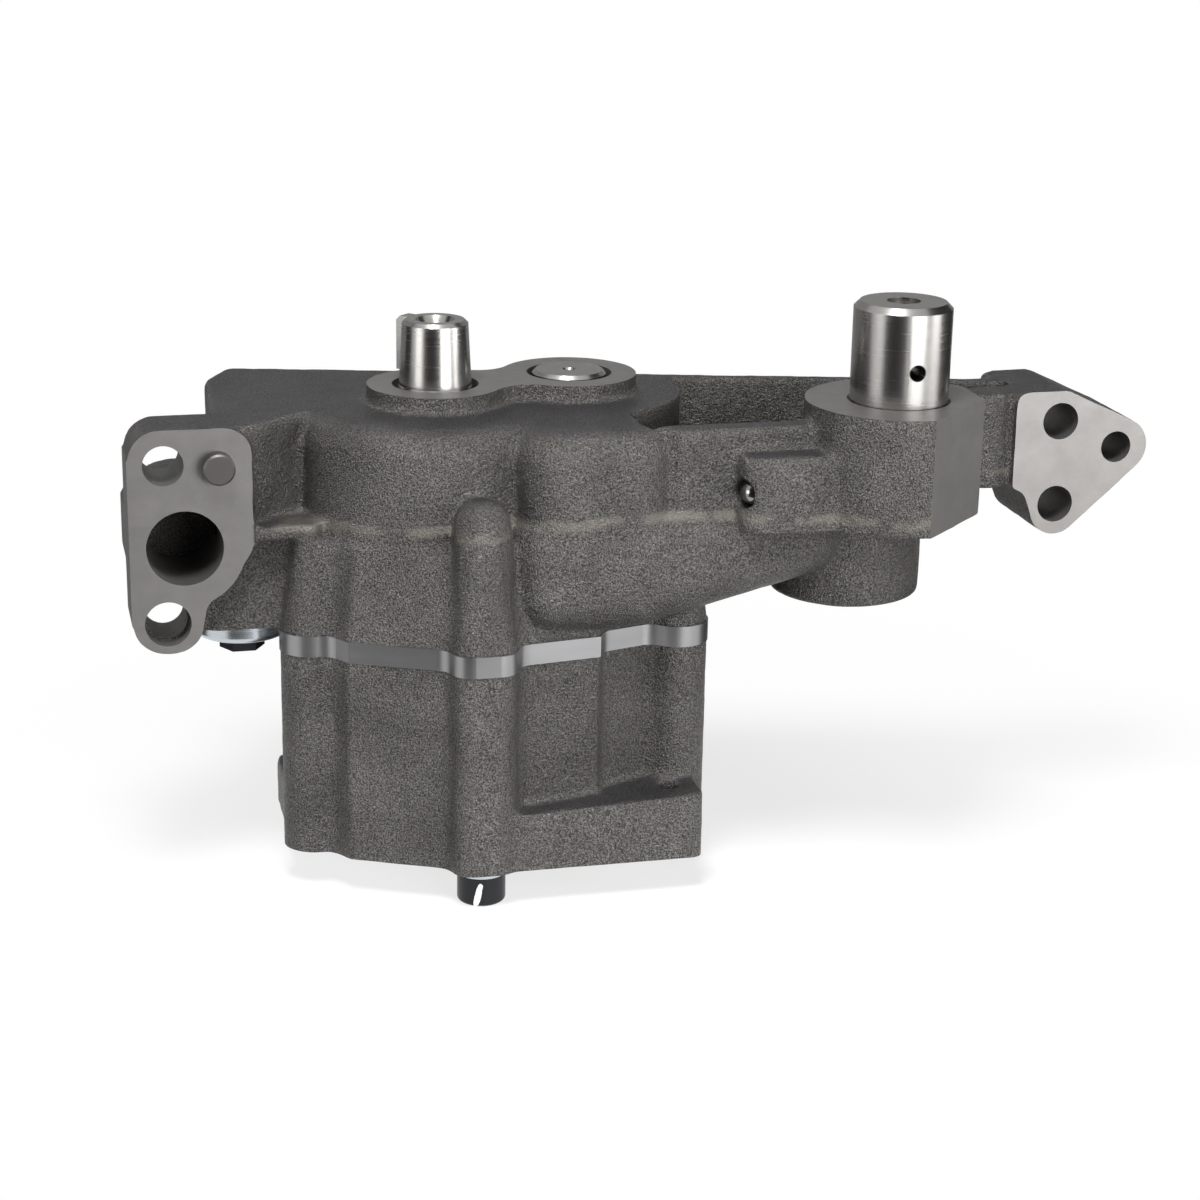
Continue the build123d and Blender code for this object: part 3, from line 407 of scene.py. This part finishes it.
def blasted_iron(settings, seam_height, seam_strength):
    """Grey iron, sand cast and shot blasted: dark, with bright specks that are partly its grain
    and partly painted glints.

    The faces on top are smoother and get painted shade that darkens them, and the ground seam of
    the moulds is paler.
    """
    material, tree = new_material("iron_sand_cast_blasted")
    place = add_node(tree, "ShaderNodeTexCoord").outputs["Object"]
    # Grains 0.5 mm across, and pits 1.1 mm apart
    grain = add_node(tree, "ShaderNodeTexNoise", {
        "Vector": place, "Scale": 1 / (0.5 * MM), "Detail": 2.0, "Roughness": 0.6})
    pits = add_node(tree, "ShaderNodeTexVoronoi", {"Vector": place, "Scale": 1 / (1.1 * MM)})
    patches = add_node(tree, "ShaderNodeTexNoise", {
        "Vector": place, "Scale": 1 / (18 * MM), "Detail": 3.0, "Roughness": 0.55})
    # The bright specks are partly the blasted grain and partly painted glints
    bright = add_node(tree, "ShaderNodeMapRange", {
        "Value": grain.outputs["Fac"], "From Min": 0.38, "From Max": 0.76})
    shade = add_node(tree, "ShaderNodeMapRange", {
        "Value": patches.outputs["Fac"], "From Min": 0.3, "From Max": 0.7,
        "To Min": 0.82, "To Max": 1.12})
    skin = add_node(tree, "ShaderNodeMix", {
        "Factor": bright.outputs["Result"],
        "A": rgba(settings.iron_dark), "B": rgba(settings.iron_light)}, data_type="RGBA")

    # Painted shade darkens the faces that look straight up, which are also made smoother
    facing_up = add_node(tree, "ShaderNodeSeparateXYZ", {
        "Vector": add_node(tree, "ShaderNodeNewGeometry").outputs["Normal"]})
    top = add_node(tree, "ShaderNodeMapRange", {
        "Value": facing_up.outputs["Z"], "From Min": 0.80, "From Max": 1.0, "To Max": 0.65})
    top_painted_shade = add_node(tree, "ShaderNodeMix", {
        "Factor": top.outputs["Result"], "A": skin.outputs["Result"],
        "B": rgba(settings.iron_top_painted_shade)}, data_type="RGBA")

    # The seam is 4 mm wide, climbs a little to the right and is ground in patches 14 mm long
    parts = add_node(tree, "ShaderNodeSeparateXYZ", {"Vector": place})
    climb = add_node(tree, "ShaderNodeMapRange", {
        "Value": parts.outputs["X"], "From Min": -35 * MM, "From Max": 50 * MM,
        "To Min": seam_height - 2.5 * MM, "To Max": seam_height + 2.5 * MM})
    wander = add_node(tree, "ShaderNodeTexNoise", {
        "Vector": place, "Scale": 1 / (10 * MM), "Detail": 2.0})
    seam = add_node(tree, "ShaderNodeMath", {
        0: wander.outputs["Fac"], 1: 4 * MM, 2: climb.outputs["Result"]},
        operation="MULTIPLY_ADD")
    from_seam = add_node(tree, "ShaderNodeMath", {
        0: parts.outputs["Z"], 1: seam.outputs["Value"]}, operation="SUBTRACT")
    off_seam = add_node(tree, "ShaderNodeMath", {0: from_seam.outputs["Value"]},
                        operation="ABSOLUTE")
    near = add_node(tree, "ShaderNodeMapRange", {
        "Value": off_seam.outputs["Value"], "From Min": 0.8 * MM, "From Max": 2.4 * MM,
        "To Min": 1.0, "To Max": 0.0})
    ground_patches = add_node(tree, "ShaderNodeTexNoise", {
        "Vector": place, "Scale": 1 / (14 * MM), "Detail": 2.0})
    ground = add_node(tree, "ShaderNodeMapRange", {
        "Value": ground_patches.outputs["Fac"], "From Min": 0.42, "From Max": 0.52,
        "To Min": 0.0, "To Max": seam_strength})
    flash = add_node(tree, "ShaderNodeMath", {
        0: near.outputs["Result"], 1: ground.outputs["Result"]}, operation="MULTIPLY")
    flashed = add_node(tree, "ShaderNodeMix", {
        "Factor": flash.outputs["Value"], "A": top_painted_shade.outputs["Result"],
        "B": rgba(settings.iron_flash)}, data_type="RGBA")
    toned = add_node(tree, "ShaderNodeVectorMath", {
        0: flashed.outputs["Result"], "Scale": shade.outputs["Result"]}, operation="SCALE")

    rough = add_node(tree, "ShaderNodeMapRange", {
        "Value": bright.outputs["Result"], "To Min": 0.46, "To Max": 0.30})
    smooth = add_node(tree, "ShaderNodeMath", {
        0: top.outputs["Result"], 1: flash.outputs["Value"]}, operation="MAXIMUM")
    depth = add_node(tree, "ShaderNodeMapRange", {
        "Value": smooth.outputs["Value"], "To Min": 1.0, "To Max": 0.8})
    pitted = add_node(tree, "ShaderNodeBump", {
        "Height": pits.outputs["Distance"], "Strength": depth.outputs["Result"],
        "Distance": 0.25 * MM})
    bump = add_node(tree, "ShaderNodeBump", {
        "Height": grain.outputs["Fac"], "Normal": pitted.outputs["Normal"],
        "Strength": depth.outputs["Result"], "Distance": 0.8 * MM})
    shader = add_node(tree, "ShaderNodeBsdfPrincipled", {
        "Base Color": toned.outputs["Vector"], "Roughness": rough.outputs["Result"],
        "Normal": bump.outputs["Normal"], "Metallic": 0.86})
    add_node(tree, "ShaderNodeOutputMaterial", {"Surface": shader.outputs["BSDF"]})
    return material


def milled_iron(settings):
    """Grey iron, milled: an even warm grey with faint cutter lines and stains."""
    material, tree = new_material("iron_milled")
    place = add_node(tree, "ShaderNodeTexCoord").outputs["Object"]
    # Cutter lines 0.6 mm apart
    stretch = add_node(tree, "ShaderNodeMapping", {
        "Vector": place, "Scale": (1 / (9 * MM), 1 / (1.2 * MM), 1 / (0.6 * MM))})
    lines = add_node(tree, "ShaderNodeTexNoise", {
        "Vector": stretch.outputs["Vector"], "Scale": 1.0, "Detail": 3.0})
    stains = add_node(tree, "ShaderNodeTexNoise", {
        "Vector": place, "Scale": 1 / (9 * MM), "Detail": 4.0, "Roughness": 0.6})
    shade = add_node(tree, "ShaderNodeMapRange", {
        "Value": stains.outputs["Fac"], "From Min": 0.3, "From Max": 0.7,
        "To Min": 0.90, "To Max": 1.06})
    toned = add_node(tree, "ShaderNodeVectorMath", {
        0: tuple(settings.machined), "Scale": shade.outputs["Result"]}, operation="SCALE")
    rough = add_node(tree, "ShaderNodeMapRange", {
        "Value": lines.outputs["Fac"], "To Min": 0.40, "To Max": 0.54})
    bump = add_node(tree, "ShaderNodeBump", {
        "Height": lines.outputs["Fac"], "Strength": 0.2, "Distance": 0.05 * MM})
    shader = add_node(tree, "ShaderNodeBsdfPrincipled", {
        "Base Color": toned.outputs["Vector"], "Roughness": rough.outputs["Result"],
        "Normal": bump.outputs["Normal"], "Metallic": 0.85})
    add_node(tree, "ShaderNodeOutputMaterial", {"Surface": shader.outputs["BSDF"]})
    return material


def worked_metal(name, colour, roughness, ring=0.5 * MM, ring_depth=0.02 * MM, metallic=1.0):
    """Bare or plated metal: its gloss varies along fine tool rings round the upright axis."""
    material, tree = new_material(name)
    place = add_node(tree, "ShaderNodeTexCoord").outputs["Object"]
    stretch = add_node(tree, "ShaderNodeMapping", {
        "Vector": place, "Scale": (1 / (20 * MM), 1 / (20 * MM), 1 / ring)})
    rings = add_node(tree, "ShaderNodeTexNoise", {
        "Vector": stretch.outputs["Vector"], "Scale": 1.0, "Detail": 3.0})
    rough = add_node(tree, "ShaderNodeMapRange", {
        "Value": rings.outputs["Fac"], "To Min": roughness - 0.06, "To Max": roughness + 0.08})
    bump = add_node(tree, "ShaderNodeBump", {
        "Height": rings.outputs["Fac"], "Strength": 0.15, "Distance": ring_depth})
    shader = add_node(tree, "ShaderNodeBsdfPrincipled", {
        "Base Color": rgba(colour), "Roughness": rough.outputs["Result"],
        "Normal": bump.outputs["Normal"], "Metallic": metallic})
    add_node(tree, "ShaderNodeOutputMaterial", {"Surface": shader.outputs["BSDF"]})
    return material


def blackened_steel(settings):
    """Black oxide on steel: near black with a soft sheen, and paint on the front screw's head."""
    material, tree = new_material("steel_black_oxide")
    place = add_node(tree, "ShaderNodeTexCoord").outputs["Object"]
    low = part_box("housing_screws")[0].z
    # A brush stroke of paint, 2 mm wide and 9 mm high, a little torn, down the side of the head
    torn = add_node(tree, "ShaderNodeTexNoise", {
        "Vector": place, "Scale": 1 / (2 * MM), "Detail": 3.0})
    middle = FRONT_SCREW + Vector((-2.6 * MM, -8 * MM, low + 4 * MM))
    leaning = add_node(tree, "ShaderNodeMapping", {
        "Vector": place, "Location": middle, "Rotation": (0, math.radians(12), 0),
        "Scale": (MM, 6 * MM, 4.5 * MM)}, vector_type="TEXTURE")
    stroke = add_node(tree, "ShaderNodeVectorMath", {
        0: leaning.outputs["Vector"]}, operation="LENGTH")
    edge = add_node(tree, "ShaderNodeMath", {
        0: torn.outputs["Fac"], 1: 0.8, 2: 0.6}, operation="MULTIPLY_ADD")
    painted = add_node(tree, "ShaderNodeMath", {
        0: stroke.outputs["Value"], 1: edge.outputs["Value"]}, operation="LESS_THAN")
    colour = add_node(tree, "ShaderNodeMix", {
        "Factor": painted.outputs["Value"], "A": rgba(settings.oxide),
        "B": rgba(settings.paint)}, data_type="RGBA")
    bare = add_node(tree, "ShaderNodeMath", {
        0: 0.5, 1: painted.outputs["Value"]}, operation="SUBTRACT", use_clamp=True)
    bump = add_node(tree, "ShaderNodeBump", {
        "Height": torn.outputs["Fac"], "Strength": 0.3, "Distance": 0.1 * MM})
    shader = add_node(tree, "ShaderNodeBsdfPrincipled", {
        "Base Color": colour.outputs["Result"], "Roughness": 0.32,
        "Normal": bump.outputs["Normal"], "Metallic": bare.outputs["Value"]})
    add_node(tree, "ShaderNodeOutputMaterial", {"Surface": shader.outputs["BSDF"]})
    return material


def face_arrays(data):
    """Middles and normals of a mesh's faces, one row each."""
    arrays = []
    for name in ("center", "normal"):
        values = np.zeros(len(data.polygons) * 3)
        data.polygons.foreach_get(name, values)
        arrays.append(values.reshape(-1, 3))
    return arrays


def flat_directions(normal):
    """Directions across and upwards in a flat."""
    across = RIGHT if abs(normal.z) > 0.9 else normal.cross(UP).normalized()
    return across, normal.cross(across)


def in_facing(facing, middles, normals, slack=0.02 * MM):
    """Which faces lie in a machined flat."""
    away = middles - np.array(facing.middle)
    across, upward = flat_directions(facing.normal)
    return ((abs(away @ np.array(facing.normal)) < slack)
            & (normals @ np.array(facing.normal) > ALONG_NORMAL)
            & (abs(away @ np.array(across)) < facing.wide / 2)
            & (abs(away @ np.array(upward)) < facing.high / 2))


def in_bore(bore, middles, normals, slack=0.1 * MM):
    """Which faces lie in the wall of a bore."""
    axis = np.array(bore.axis)
    away = middles - np.array(bore.mouth)
    along = away @ axis
    radial = np.linalg.norm(away - np.outer(along, axis), axis=1)
    return ((abs(radial - bore.radius) < slack) & (abs(normals @ axis) < ACROSS_AXIS)
            & (along > -bore.depth - slack) & (along < MM))


def turned_to(axis):
    """Rotation that turns +Z to an axis."""
    return axis.to_track_quat("Z", "Y").to_matrix().to_4x4()


def add_rod(mesh, start, axis, length, radius, end_radius=None):
    """Adds a closed round rod or cone to a bmesh, from its start along an axis."""
    bmesh.ops.create_cone(
        mesh, cap_ends=True, segments=ROUND_SIDES, radius1=radius, radius2=end_radius or radius,
        depth=length, matrix=Matrix.Translation(start + axis * length / 2) @ turned_to(axis))


def add_block(mesh, middle, directions, sizes):
    """Adds a box to a bmesh, with its sides along three directions."""
    turn = Matrix(directions).transposed().to_4x4()
    bmesh.ops.create_cube(
        mesh, size=1.0, matrix=Matrix.Translation(middle) @ turn @ Matrix.Diagonal((*sizes, 1)))


def add_window(mesh, spare):
    """Adds the space between the two gear chambers, where oil comes in and goes out."""
    pair = (DRIVEN - DRIVE).normalized()
    deep = HOUSING_TOP - CHAMBER_FLOOR
    middle = at_height((DRIVE + DRIVEN) / 2, (HOUSING_TOP + CHAMBER_FLOOR) / 2)
    add_block(mesh, middle + UP * spare / 2, (pair, UP.cross(pair), UP),
              (PORT_WINDOW, 2 * CHAMBER_RADIUS, deep + spare))


def as_object(mesh, name):
    """A linked object from a bmesh, which is freed."""
    data = bpy.data.meshes.new(name)
    mesh.to_mesh(data)
    mesh.free()
    thing = bpy.data.objects.new(name, data)
    bpy.context.scene.collection.objects.link(thing)
    return thing


def apply_modifiers(thing):
    """Bakes the modifiers of an object into its mesh."""
    graph = bpy.context.evaluated_depsgraph_get()
    baked = bpy.data.meshes.new_from_object(thing.evaluated_get(graph))
    thing.modifiers.clear()
    thing.data = baked


def trim_side_foot(mesh):
    """Makes the foot at the left of the housing lower and slimmer, as the real one is."""
    lug = RECESSED_SCREWS[0]
    for vert in mesh.verts:
        above = vert.co.z - HOUSING_BOTTOM
        from_lug = (vert.co - at_height(lug, vert.co.z)).length
        if vert.co.x < SIDE_FOOT_RIGHT and SIDE_FOOT_SHOULDER < above < SIDE_FOOT_TOP:
            vert.co.z -= SIDE_FOOT_DROP
        if vert.co.x < SIDE_FOOT_ROOT and from_lug > LUG_RADIUS:
            vert.co.x = SIDE_FOOT_ROOT + (vert.co.x - SIDE_FOOT_ROOT) * SIDE_FOOT_SHARE


def rough_casting(node, name, facings, bores, settings, add_plugs=None, reshape=None):
    """The casting before machining: the solid with its bores filled and its flats proud."""
    mesh = bmesh.new()
    mesh.from_mesh(frame["nodes"][node].data)
    bmesh.ops.remove_doubles(mesh, verts=mesh.verts, dist=0.001 * MM)
    if reshape:
        reshape(mesh)
    for facing in facings:
        middles = np.array([face.calc_center_median() for face in mesh.faces])
        normals = np.array([face.normal for face in mesh.faces])
        inside = in_facing(facing, middles, normals)
        found = [face for face, hit in zip(mesh.faces, inside) if hit]
        grown = bmesh.ops.extrude_face_region(mesh, geom=found)["geom"]
        moved = [item for item in grown if isinstance(item, bmesh.types.BMVert)]
        bmesh.ops.translate(mesh, verts=moved, vec=facing.normal * settings.allowance)
        bmesh.ops.delete(mesh, geom=found, context="FACES")
    proud = settings.allowance - PLUG_BELOW_SKIN
    for bore in (bore for bore in bores if bore.flat_mouth):
        add_rod(mesh, bore.mouth + bore.axis * proud, -bore.axis,
                bore.depth + proud - PLUG_SHORT_OF_END, bore.radius + bore.flare + PLUG_IN_WALL)
    if add_plugs:
        add_plugs(mesh, proud)
    thing = as_object(mesh, name)
    remesh = thing.modifiers.new("cells", "REMESH")
    remesh.mode = "VOXEL"
    remesh.voxel_size = settings.cell
    smooth = thing.modifiers.new("corners", "SMOOTH")
    smooth.factor = 0.5
    smooth.iterations = settings.rounding
    apply_modifiers(thing)
    return thing


def uneven_skin(thing, settings, seam_height, seam_strength):
    """Sinks a cast skin in shallow waves, as sand moulds leave it, and lifts the seam."""
    data = thing.data
    places = np.zeros(len(data.vertices) * 3)
    normals = np.zeros(len(data.vertices) * 3)
    data.vertices.foreach_get("co", places)
    data.vertices.foreach_get("normal", normals)
    places, normals = places.reshape(-1, 3), normals.reshape(-1, 3)
    waves = np.array([
        noise.fractal(Vector(place) / WAVE_LENGTH, 1.0, 2.0, 3) for place in places])
    seam = np.exp(-((places[:, 2] - seam_height) / MM) ** 2)
    flash = seam * settings.flash_height * seam_strength
    lifts = (waves - WAVE_SINK) * settings.unevenness + flash
    places += normals * lifts[:, None]
    data.vertices.foreach_set("co", places.ravel())
    data.update()


def machine(thing, facings, bores, add_pocket=None):
    """Cuts the machined flats and bores into a rough casting."""
    cutters = []
    for facing in facings:
        across, upward = flat_directions(facing.normal)
        mesh = bmesh.new()
        add_block(mesh, facing.middle + facing.normal * CUTTER_REACH / 2,
                  (across, upward, facing.normal), (facing.wide, facing.high, CUTTER_REACH))
        cutters.append(as_object(mesh, "cutter"))
    for bore in bores:
        mesh = bmesh.new()
        add_rod(mesh, bore.mouth + bore.axis * CUTTER_REACH, -bore.axis,
                bore.depth + CUTTER_REACH, bore.radius)
        cutters.append(as_object(mesh, "cutter"))
        if bore.flare:
            mesh = bmesh.new()
            add_rod(mesh, bore.mouth - bore.axis * bore.flare, bore.axis, 2 * bore.flare,
                    bore.radius, bore.radius + 2 * bore.flare)
            cutters.append(as_object(mesh, "cutter"))
    if add_pocket:
        mesh = bmesh.new()
        add_pocket(mesh, CUTTER_REACH)
        cutters.append(as_object(mesh, "cutter"))
    for cutter in cutters:
        modifier = thing.modifiers.new("cut", "BOOLEAN")
        modifier.operation = "DIFFERENCE"
        modifier.solver = "MANIFOLD"
        modifier.object = cutter
    apply_modifiers(thing)
    for cutter in cutters:
        bpy.data.objects.remove(cutter)


def finish_casting(thing, facings, bores, materials):
    """Gives machined flats and bores their own finish, and sharp borders."""
    data = thing.data
    data.materials.clear()
    for material in materials:
        data.materials.append(material)
    middles, normals = face_arrays(data)
    milled = np.zeros(len(data.polygons), bool)
    for facing in facings:
        milled |= in_facing(facing, middles, normals)
    for bore in bores:
        milled |= in_bore(bore, middles, normals)
    data.polygons.foreach_set("material_index", milled.astype(np.int32))
    data.shade_smooth()
    data.set_sharp_from_angle(angle=math.radians(35))


def make_casting(node, name, facings, bores, settings, seam, pocket=None, reshape=None):
    """A finished casting that stands for its solid. Its seam has a height and a strength."""
    thing = rough_casting(node, name, facings, bores, settings, pocket, reshape)
    uneven_skin(thing, settings, *seam)
    machine(thing, facings, bores, pocket)
    finish_casting(thing, facings, bores, (blasted_iron(settings, *seam), milled_iron(settings)))
    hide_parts(node)
    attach(thing, "casing")


def dress(material, *nodes):
    """Gives nodes that keep their own shape a finish."""
    for name in nodes:
        frame["nodes"][name].material_slots[0].material = material


class OILPUMP_OT_upper_casting(bpy.types.Operator):
    """Upper casting with its flanges, arm and gear face"""

    bl_idname = "oilpump.upper_casting"
    bl_label = "Upper casting"

    def execute(self, context):
        make_casting("pump_body", "upper_casting", upper_facings(), upper_bores(),
                     context.scene.oilpump_casting, (PARTING_HEIGHT, 0.6))
        return {"FINISHED"}


class OILPUMP_OT_housing_casting(bpy.types.Operator):
    """Lower casting round the pump gears, with its feet and inlet"""

    bl_idname = "oilpump.housing_casting"
    bl_label = "Gear housing"

    def execute(self, context):
        # Its moulds met at the joint face, so no seam shows
        make_casting("gear_housing", "housing_casting", housing_facings(), housing_bores(),
                     context.scene.oilpump_casting, (HOUSING_TOP, 0.0), add_window, trim_side_foot)
        return {"FINISHED"}


class OILPUMP_OT_shafts(bpy.types.Operator):
    """Finishes of the shafts, the key, the idler pin and the ball in the oil hole"""

    bl_idname = "oilpump.shafts"
    bl_label = "Shafts and pin"

    def execute(self, context):
        metals = context.scene.oilpump_metal
        dress(worked_metal("steel_turned", metals.turned, 0.24),
              "drive_shaft", "driven_shaft", "idler_pin", "shaft_key")
        dress(worked_metal("steel_polished", metals.ground, 0.14), "oil_hole_ball")
        dress(worked_metal("steel_dull", metals.dull, 0.5),
              "idler_pin_plug", "flange_dowel", "housing_dowels")
        return {"FINISHED"}


class OILPUMP_OT_gears(bpy.types.Operator):
    """Finishes of the pump gears, their bushings and the ground plate"""

    bl_idname = "oilpump.gears"
    bl_label = "Gears, bushings and plate"

    def execute(self, context):
        metals = context.scene.oilpump_metal
        dress(worked_metal("steel_ground", metals.ground, 0.34, ring=4 * MM),
              "wear_plate", "drive_gear", "driven_gear")
        dress(worked_metal("bronze_bored", metals.bronze, 0.30),
              "drive_bushing_body", "driven_bushing_body",
              "drive_bushing_housing", "driven_bushing_housing")
        return {"FINISHED"}


class OILPUMP_OT_fastenings(bpy.types.Operator):
    """Finishes of the screws, washers and relief valve"""

    bl_idname = "oilpump.fastenings"
    bl_label = "Screws and relief valve"

    def execute(self, context):
        metals = context.scene.oilpump_metal
        dress(worked_metal("zinc_plated_steel", metals.zinc, 0.25),
              "relief_cap", "screw_washers")
        dress(worked_metal("spring_steel", metals.turned, 0.36),
              "relief_plunger", "relief_spring")
        dress(blackened_steel(metals), "relief_guide_bolt", "housing_screws")
        return {"FINISHED"}


class OILPUMP_OT_stage(bpy.types.Operator):
    """Camera, soft lamps, dark flags, white surroundings and floor"""

    bl_idname = "oilpump.stage"
    bl_label = "Stage"

    def execute(self, context):
        context.scene.view_settings.view_transform = "Standard"
        stage = context.scene.oilpump_stage
        add_camera(stage, context.scene)
        low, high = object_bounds()
        add_floor(stage, low.z)
        add_surroundings(context.scene)
        for name, start, end, shade in (
            ("flag_front", -138, -80, 0.03),
            ("flag_right", -15, 30, 0.03),
            ("flag_back", 32, 140, 0.25),
            ("flag_left", 142, 176, 0.03),
        ):
            add_flag(name, math.radians(start), math.radians(end), low.z, shade)
        add_lamps(context.scene, (low + high) / 2)
        return {"FINISHED"}


def add_camera(stage, scene):
    """The camera, placed by where the drive shaft's origin shows in the picture."""
    turn = Matrix.Rotation(stage.azimuth, 3, "Z")
    ahead = turn @ Vector((0, math.cos(stage.elevation), -math.sin(stage.elevation)))
    level = turn @ RIGHT
    upright = level.cross(ahead)
    across = level * math.cos(stage.roll) - upright * math.sin(stage.roll)
    upward = level * math.sin(stage.roll) + upright * math.cos(stage.roll)
    shown_x = ORIGIN_PIXEL[0] / PICTURE_PIXELS - 0.5
    shown_y = 0.5 - ORIGIN_PIXEL[1] / PICTURE_PIXELS
    data = bpy.data.cameras.new("camera")
    data.lens = stage.lens
    data.sensor_width = 36.0
    data.clip_start = 0.05
    spread = data.sensor_width / stage.lens * stage.distance
    at = -(across * shown_x * spread + upward * shown_y * spread + ahead * stage.distance)
    camera = bpy.data.objects.new("camera", data)
    camera.matrix_world = Matrix.Translation(at) @ Matrix(
        (across, upward, -ahead)).transposed().to_4x4()
    scene.collection.objects.link(camera)
    scene.camera = camera


def seen_directly(tree, *rays):
    """1 for the kinds of ray that see the surroundings as white, and 0 for the others."""
    path = add_node(tree, "ShaderNodeLightPath")
    socket = path.outputs[rays[0]]
    for ray in rays[1:]:
        socket = add_node(tree, "ShaderNodeMath", {0: socket, 1: path.outputs[ray]},
                          operation="MAXIMUM").outputs["Value"]
    return socket


def add_floor(stage, height):
    """A pale floor that keeps the shadow close to the pump and fades to white away from it."""
    mesh = bmesh.new()
    bmesh.ops.create_grid(mesh, x_segments=1, y_segments=1, size=FLOOR_REACH)
    floor = as_object(mesh, "floor")
    floor.location = (FLOOR_MIDDLE_X, 0.0, height)
    material, tree = new_material("floor_paper")
    diffuse = add_node(tree, "ShaderNodeBsdfDiffuse", {"Color": rgba(stage.floor)})
    glow = add_node(tree, "ShaderNodeEmission", {"Color": (1, 1, 1, 1), "Strength": 1.0})
    place = add_node(tree, "ShaderNodeTexCoord").outputs["Object"]
    away = add_node(tree, "ShaderNodeVectorMath", {0: place}, operation="LENGTH")
    fade = add_node(tree, "ShaderNodeMapRange", {
        "Value": away.outputs["Value"], "From Min": FLOOR_SHADE_REACH,
        "From Max": FLOOR_WHITE_FROM, "To Min": 0.72})
    amount = add_node(tree, "ShaderNodeMath", {
        0: seen_directly(tree, "Is Camera Ray", "Is Glossy Ray", "Is Transmission Ray"),
        1: fade.outputs["Result"]}, operation="MULTIPLY")
    mix = add_node(tree, "ShaderNodeMixShader", {
        0: amount.outputs["Value"], 1: diffuse.outputs["BSDF"], 2: glow.outputs["Emission"]})
    add_node(tree, "ShaderNodeOutputMaterial", {"Surface": mix.outputs["Shader"]})
    floor.data.materials.append(material)
    floor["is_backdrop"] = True


def add_surroundings(scene):
    """A world that looks white, and lights the pump softly."""
    world = bpy.data.worlds.new("white_sweep")
    scene.world = world
    world.use_nodes = True
    tree = world.node_tree
    tree.nodes.clear()
    strength = add_node(tree, "ShaderNodeMapRange", {
        "Value": seen_directly(tree, "Is Camera Ray", "Is Glossy Ray", "Is Transmission Ray"),
        "To Min": 0.10, "To Max": 0.9})
    background = add_node(tree, "ShaderNodeBackground", {
        "Color": (1, 1, 1, 1), "Strength": strength.outputs["Result"]})
    add_node(tree, "ShaderNodeOutputWorld", {"Surface": background.outputs["Background"]})


def add_flag(name, start, end, floor_height, shade):
    """A curved cloth screen that only reflections show, which gives round steel its bands.

    It stands on the floor and runs on over it towards the pump.
    """
    mesh = bmesh.new()
    level = UP * (floor_height + MM)
    last = None
    for step in range(SCREEN_STEPS + 1):
        turn = start + (end - start) * step / SCREEN_STEPS
        out = Vector((math.cos(turn), math.sin(turn), 0))
        line = [mesh.verts.new(place) for place in (
            out * SCREEN_NEAR + level, out * SCREEN_RADIUS + level,
            out * SCREEN_RADIUS + level + UP * SCREEN_HEIGHT)]
        if last:
            for low in (0, 1):
                mesh.faces.new((last[low], line[low], line[low + 1], last[low + 1]))
        last = line
    flag = as_object(mesh, name)
    flag.visible_camera = False
    flag.visible_diffuse = False
    flag.visible_transmission = False
    flag.visible_shadow = False
    material, tree = new_material("screen_cloth")
    diffuse = add_node(tree, "ShaderNodeBsdfDiffuse", {"Color": rgba((shade, shade, shade))})
    add_node(tree, "ShaderNodeOutputMaterial", {"Surface": diffuse.outputs["BSDF"]})
    flag.data.materials.append(material)
    flag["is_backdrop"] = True


def add_lamps(scene, middle):
    """Soft lamps above, in front, left and right."""
    for name, place, size, power in (
        ("lamp_top", (-0.2, -0.35, 0.85), 0.28, 11.0),
        ("lamp_front", (0.4, -1.05, 0.08), 0.6, 11.0),
        ("lamp_left", (-0.95, -0.4, 0.15), 0.4, 2.0),
        ("lamp_right", (0.95, -0.5, 0.15), 0.4, 5.0),
    ):
        data = bpy.data.lights.new(name, "AREA")
        data.shape = "SQUARE"
        data.size = size
        data.energy = power
        lamp = bpy.data.objects.new(name, data)
        lamp.location = middle + Vector(place)
        lamp.rotation_euler = (-Vector(place)).to_track_quat("-Z", "Y").to_euler()
        scene.collection.objects.link(lamp)


class OILPUMP_PT_panel(bpy.types.Panel):
    """The pump's pieces and settings, in the sidebar"""

    bl_idname = "OILPUMP_PT_panel"
    bl_label = "Oil pump"
    bl_space_type = "VIEW_3D"
    bl_region_type = "UI"
    bl_category = "Oil pump"

    def draw(self, context):
        for operator in OPERATORS:
            self.layout.operator(operator.bl_idname)
        for group in (context.scene.oilpump_casting, context.scene.oilpump_metal,
                      context.scene.oilpump_stage):
            for name in group.__annotations__:
                self.layout.prop(group, name)


OPERATORS = (
    OILPUMP_OT_upper_casting, OILPUMP_OT_housing_casting, OILPUMP_OT_shafts, OILPUMP_OT_gears,
    OILPUMP_OT_fastenings, OILPUMP_OT_stage)
CLASSES = (CastingSettings, MetalSettings, StageSettings, *OPERATORS, OILPUMP_PT_panel)


def register():
    for item in CLASSES:
        bpy.utils.register_class(item)
    bpy.types.Scene.oilpump_casting = PointerProperty(type=CastingSettings)
    bpy.types.Scene.oilpump_metal = PointerProperty(type=MetalSettings)
    bpy.types.Scene.oilpump_stage = PointerProperty(type=StageSettings)


def unregister():
    del bpy.types.Scene.oilpump_stage
    del bpy.types.Scene.oilpump_metal
    del bpy.types.Scene.oilpump_casting
    for item in reversed(CLASSES):
        bpy.utils.unregister_class(item)


def main():
    """Makes the pump and its stage."""
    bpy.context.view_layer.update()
    register()
    bpy.ops.oilpump.upper_casting()
    bpy.ops.oilpump.housing_casting()
    bpy.ops.oilpump.shafts()
    bpy.ops.oilpump.gears()
    bpy.ops.oilpump.fastenings()
    bpy.ops.oilpump.stage()


if __name__ == "__main__":
    main()
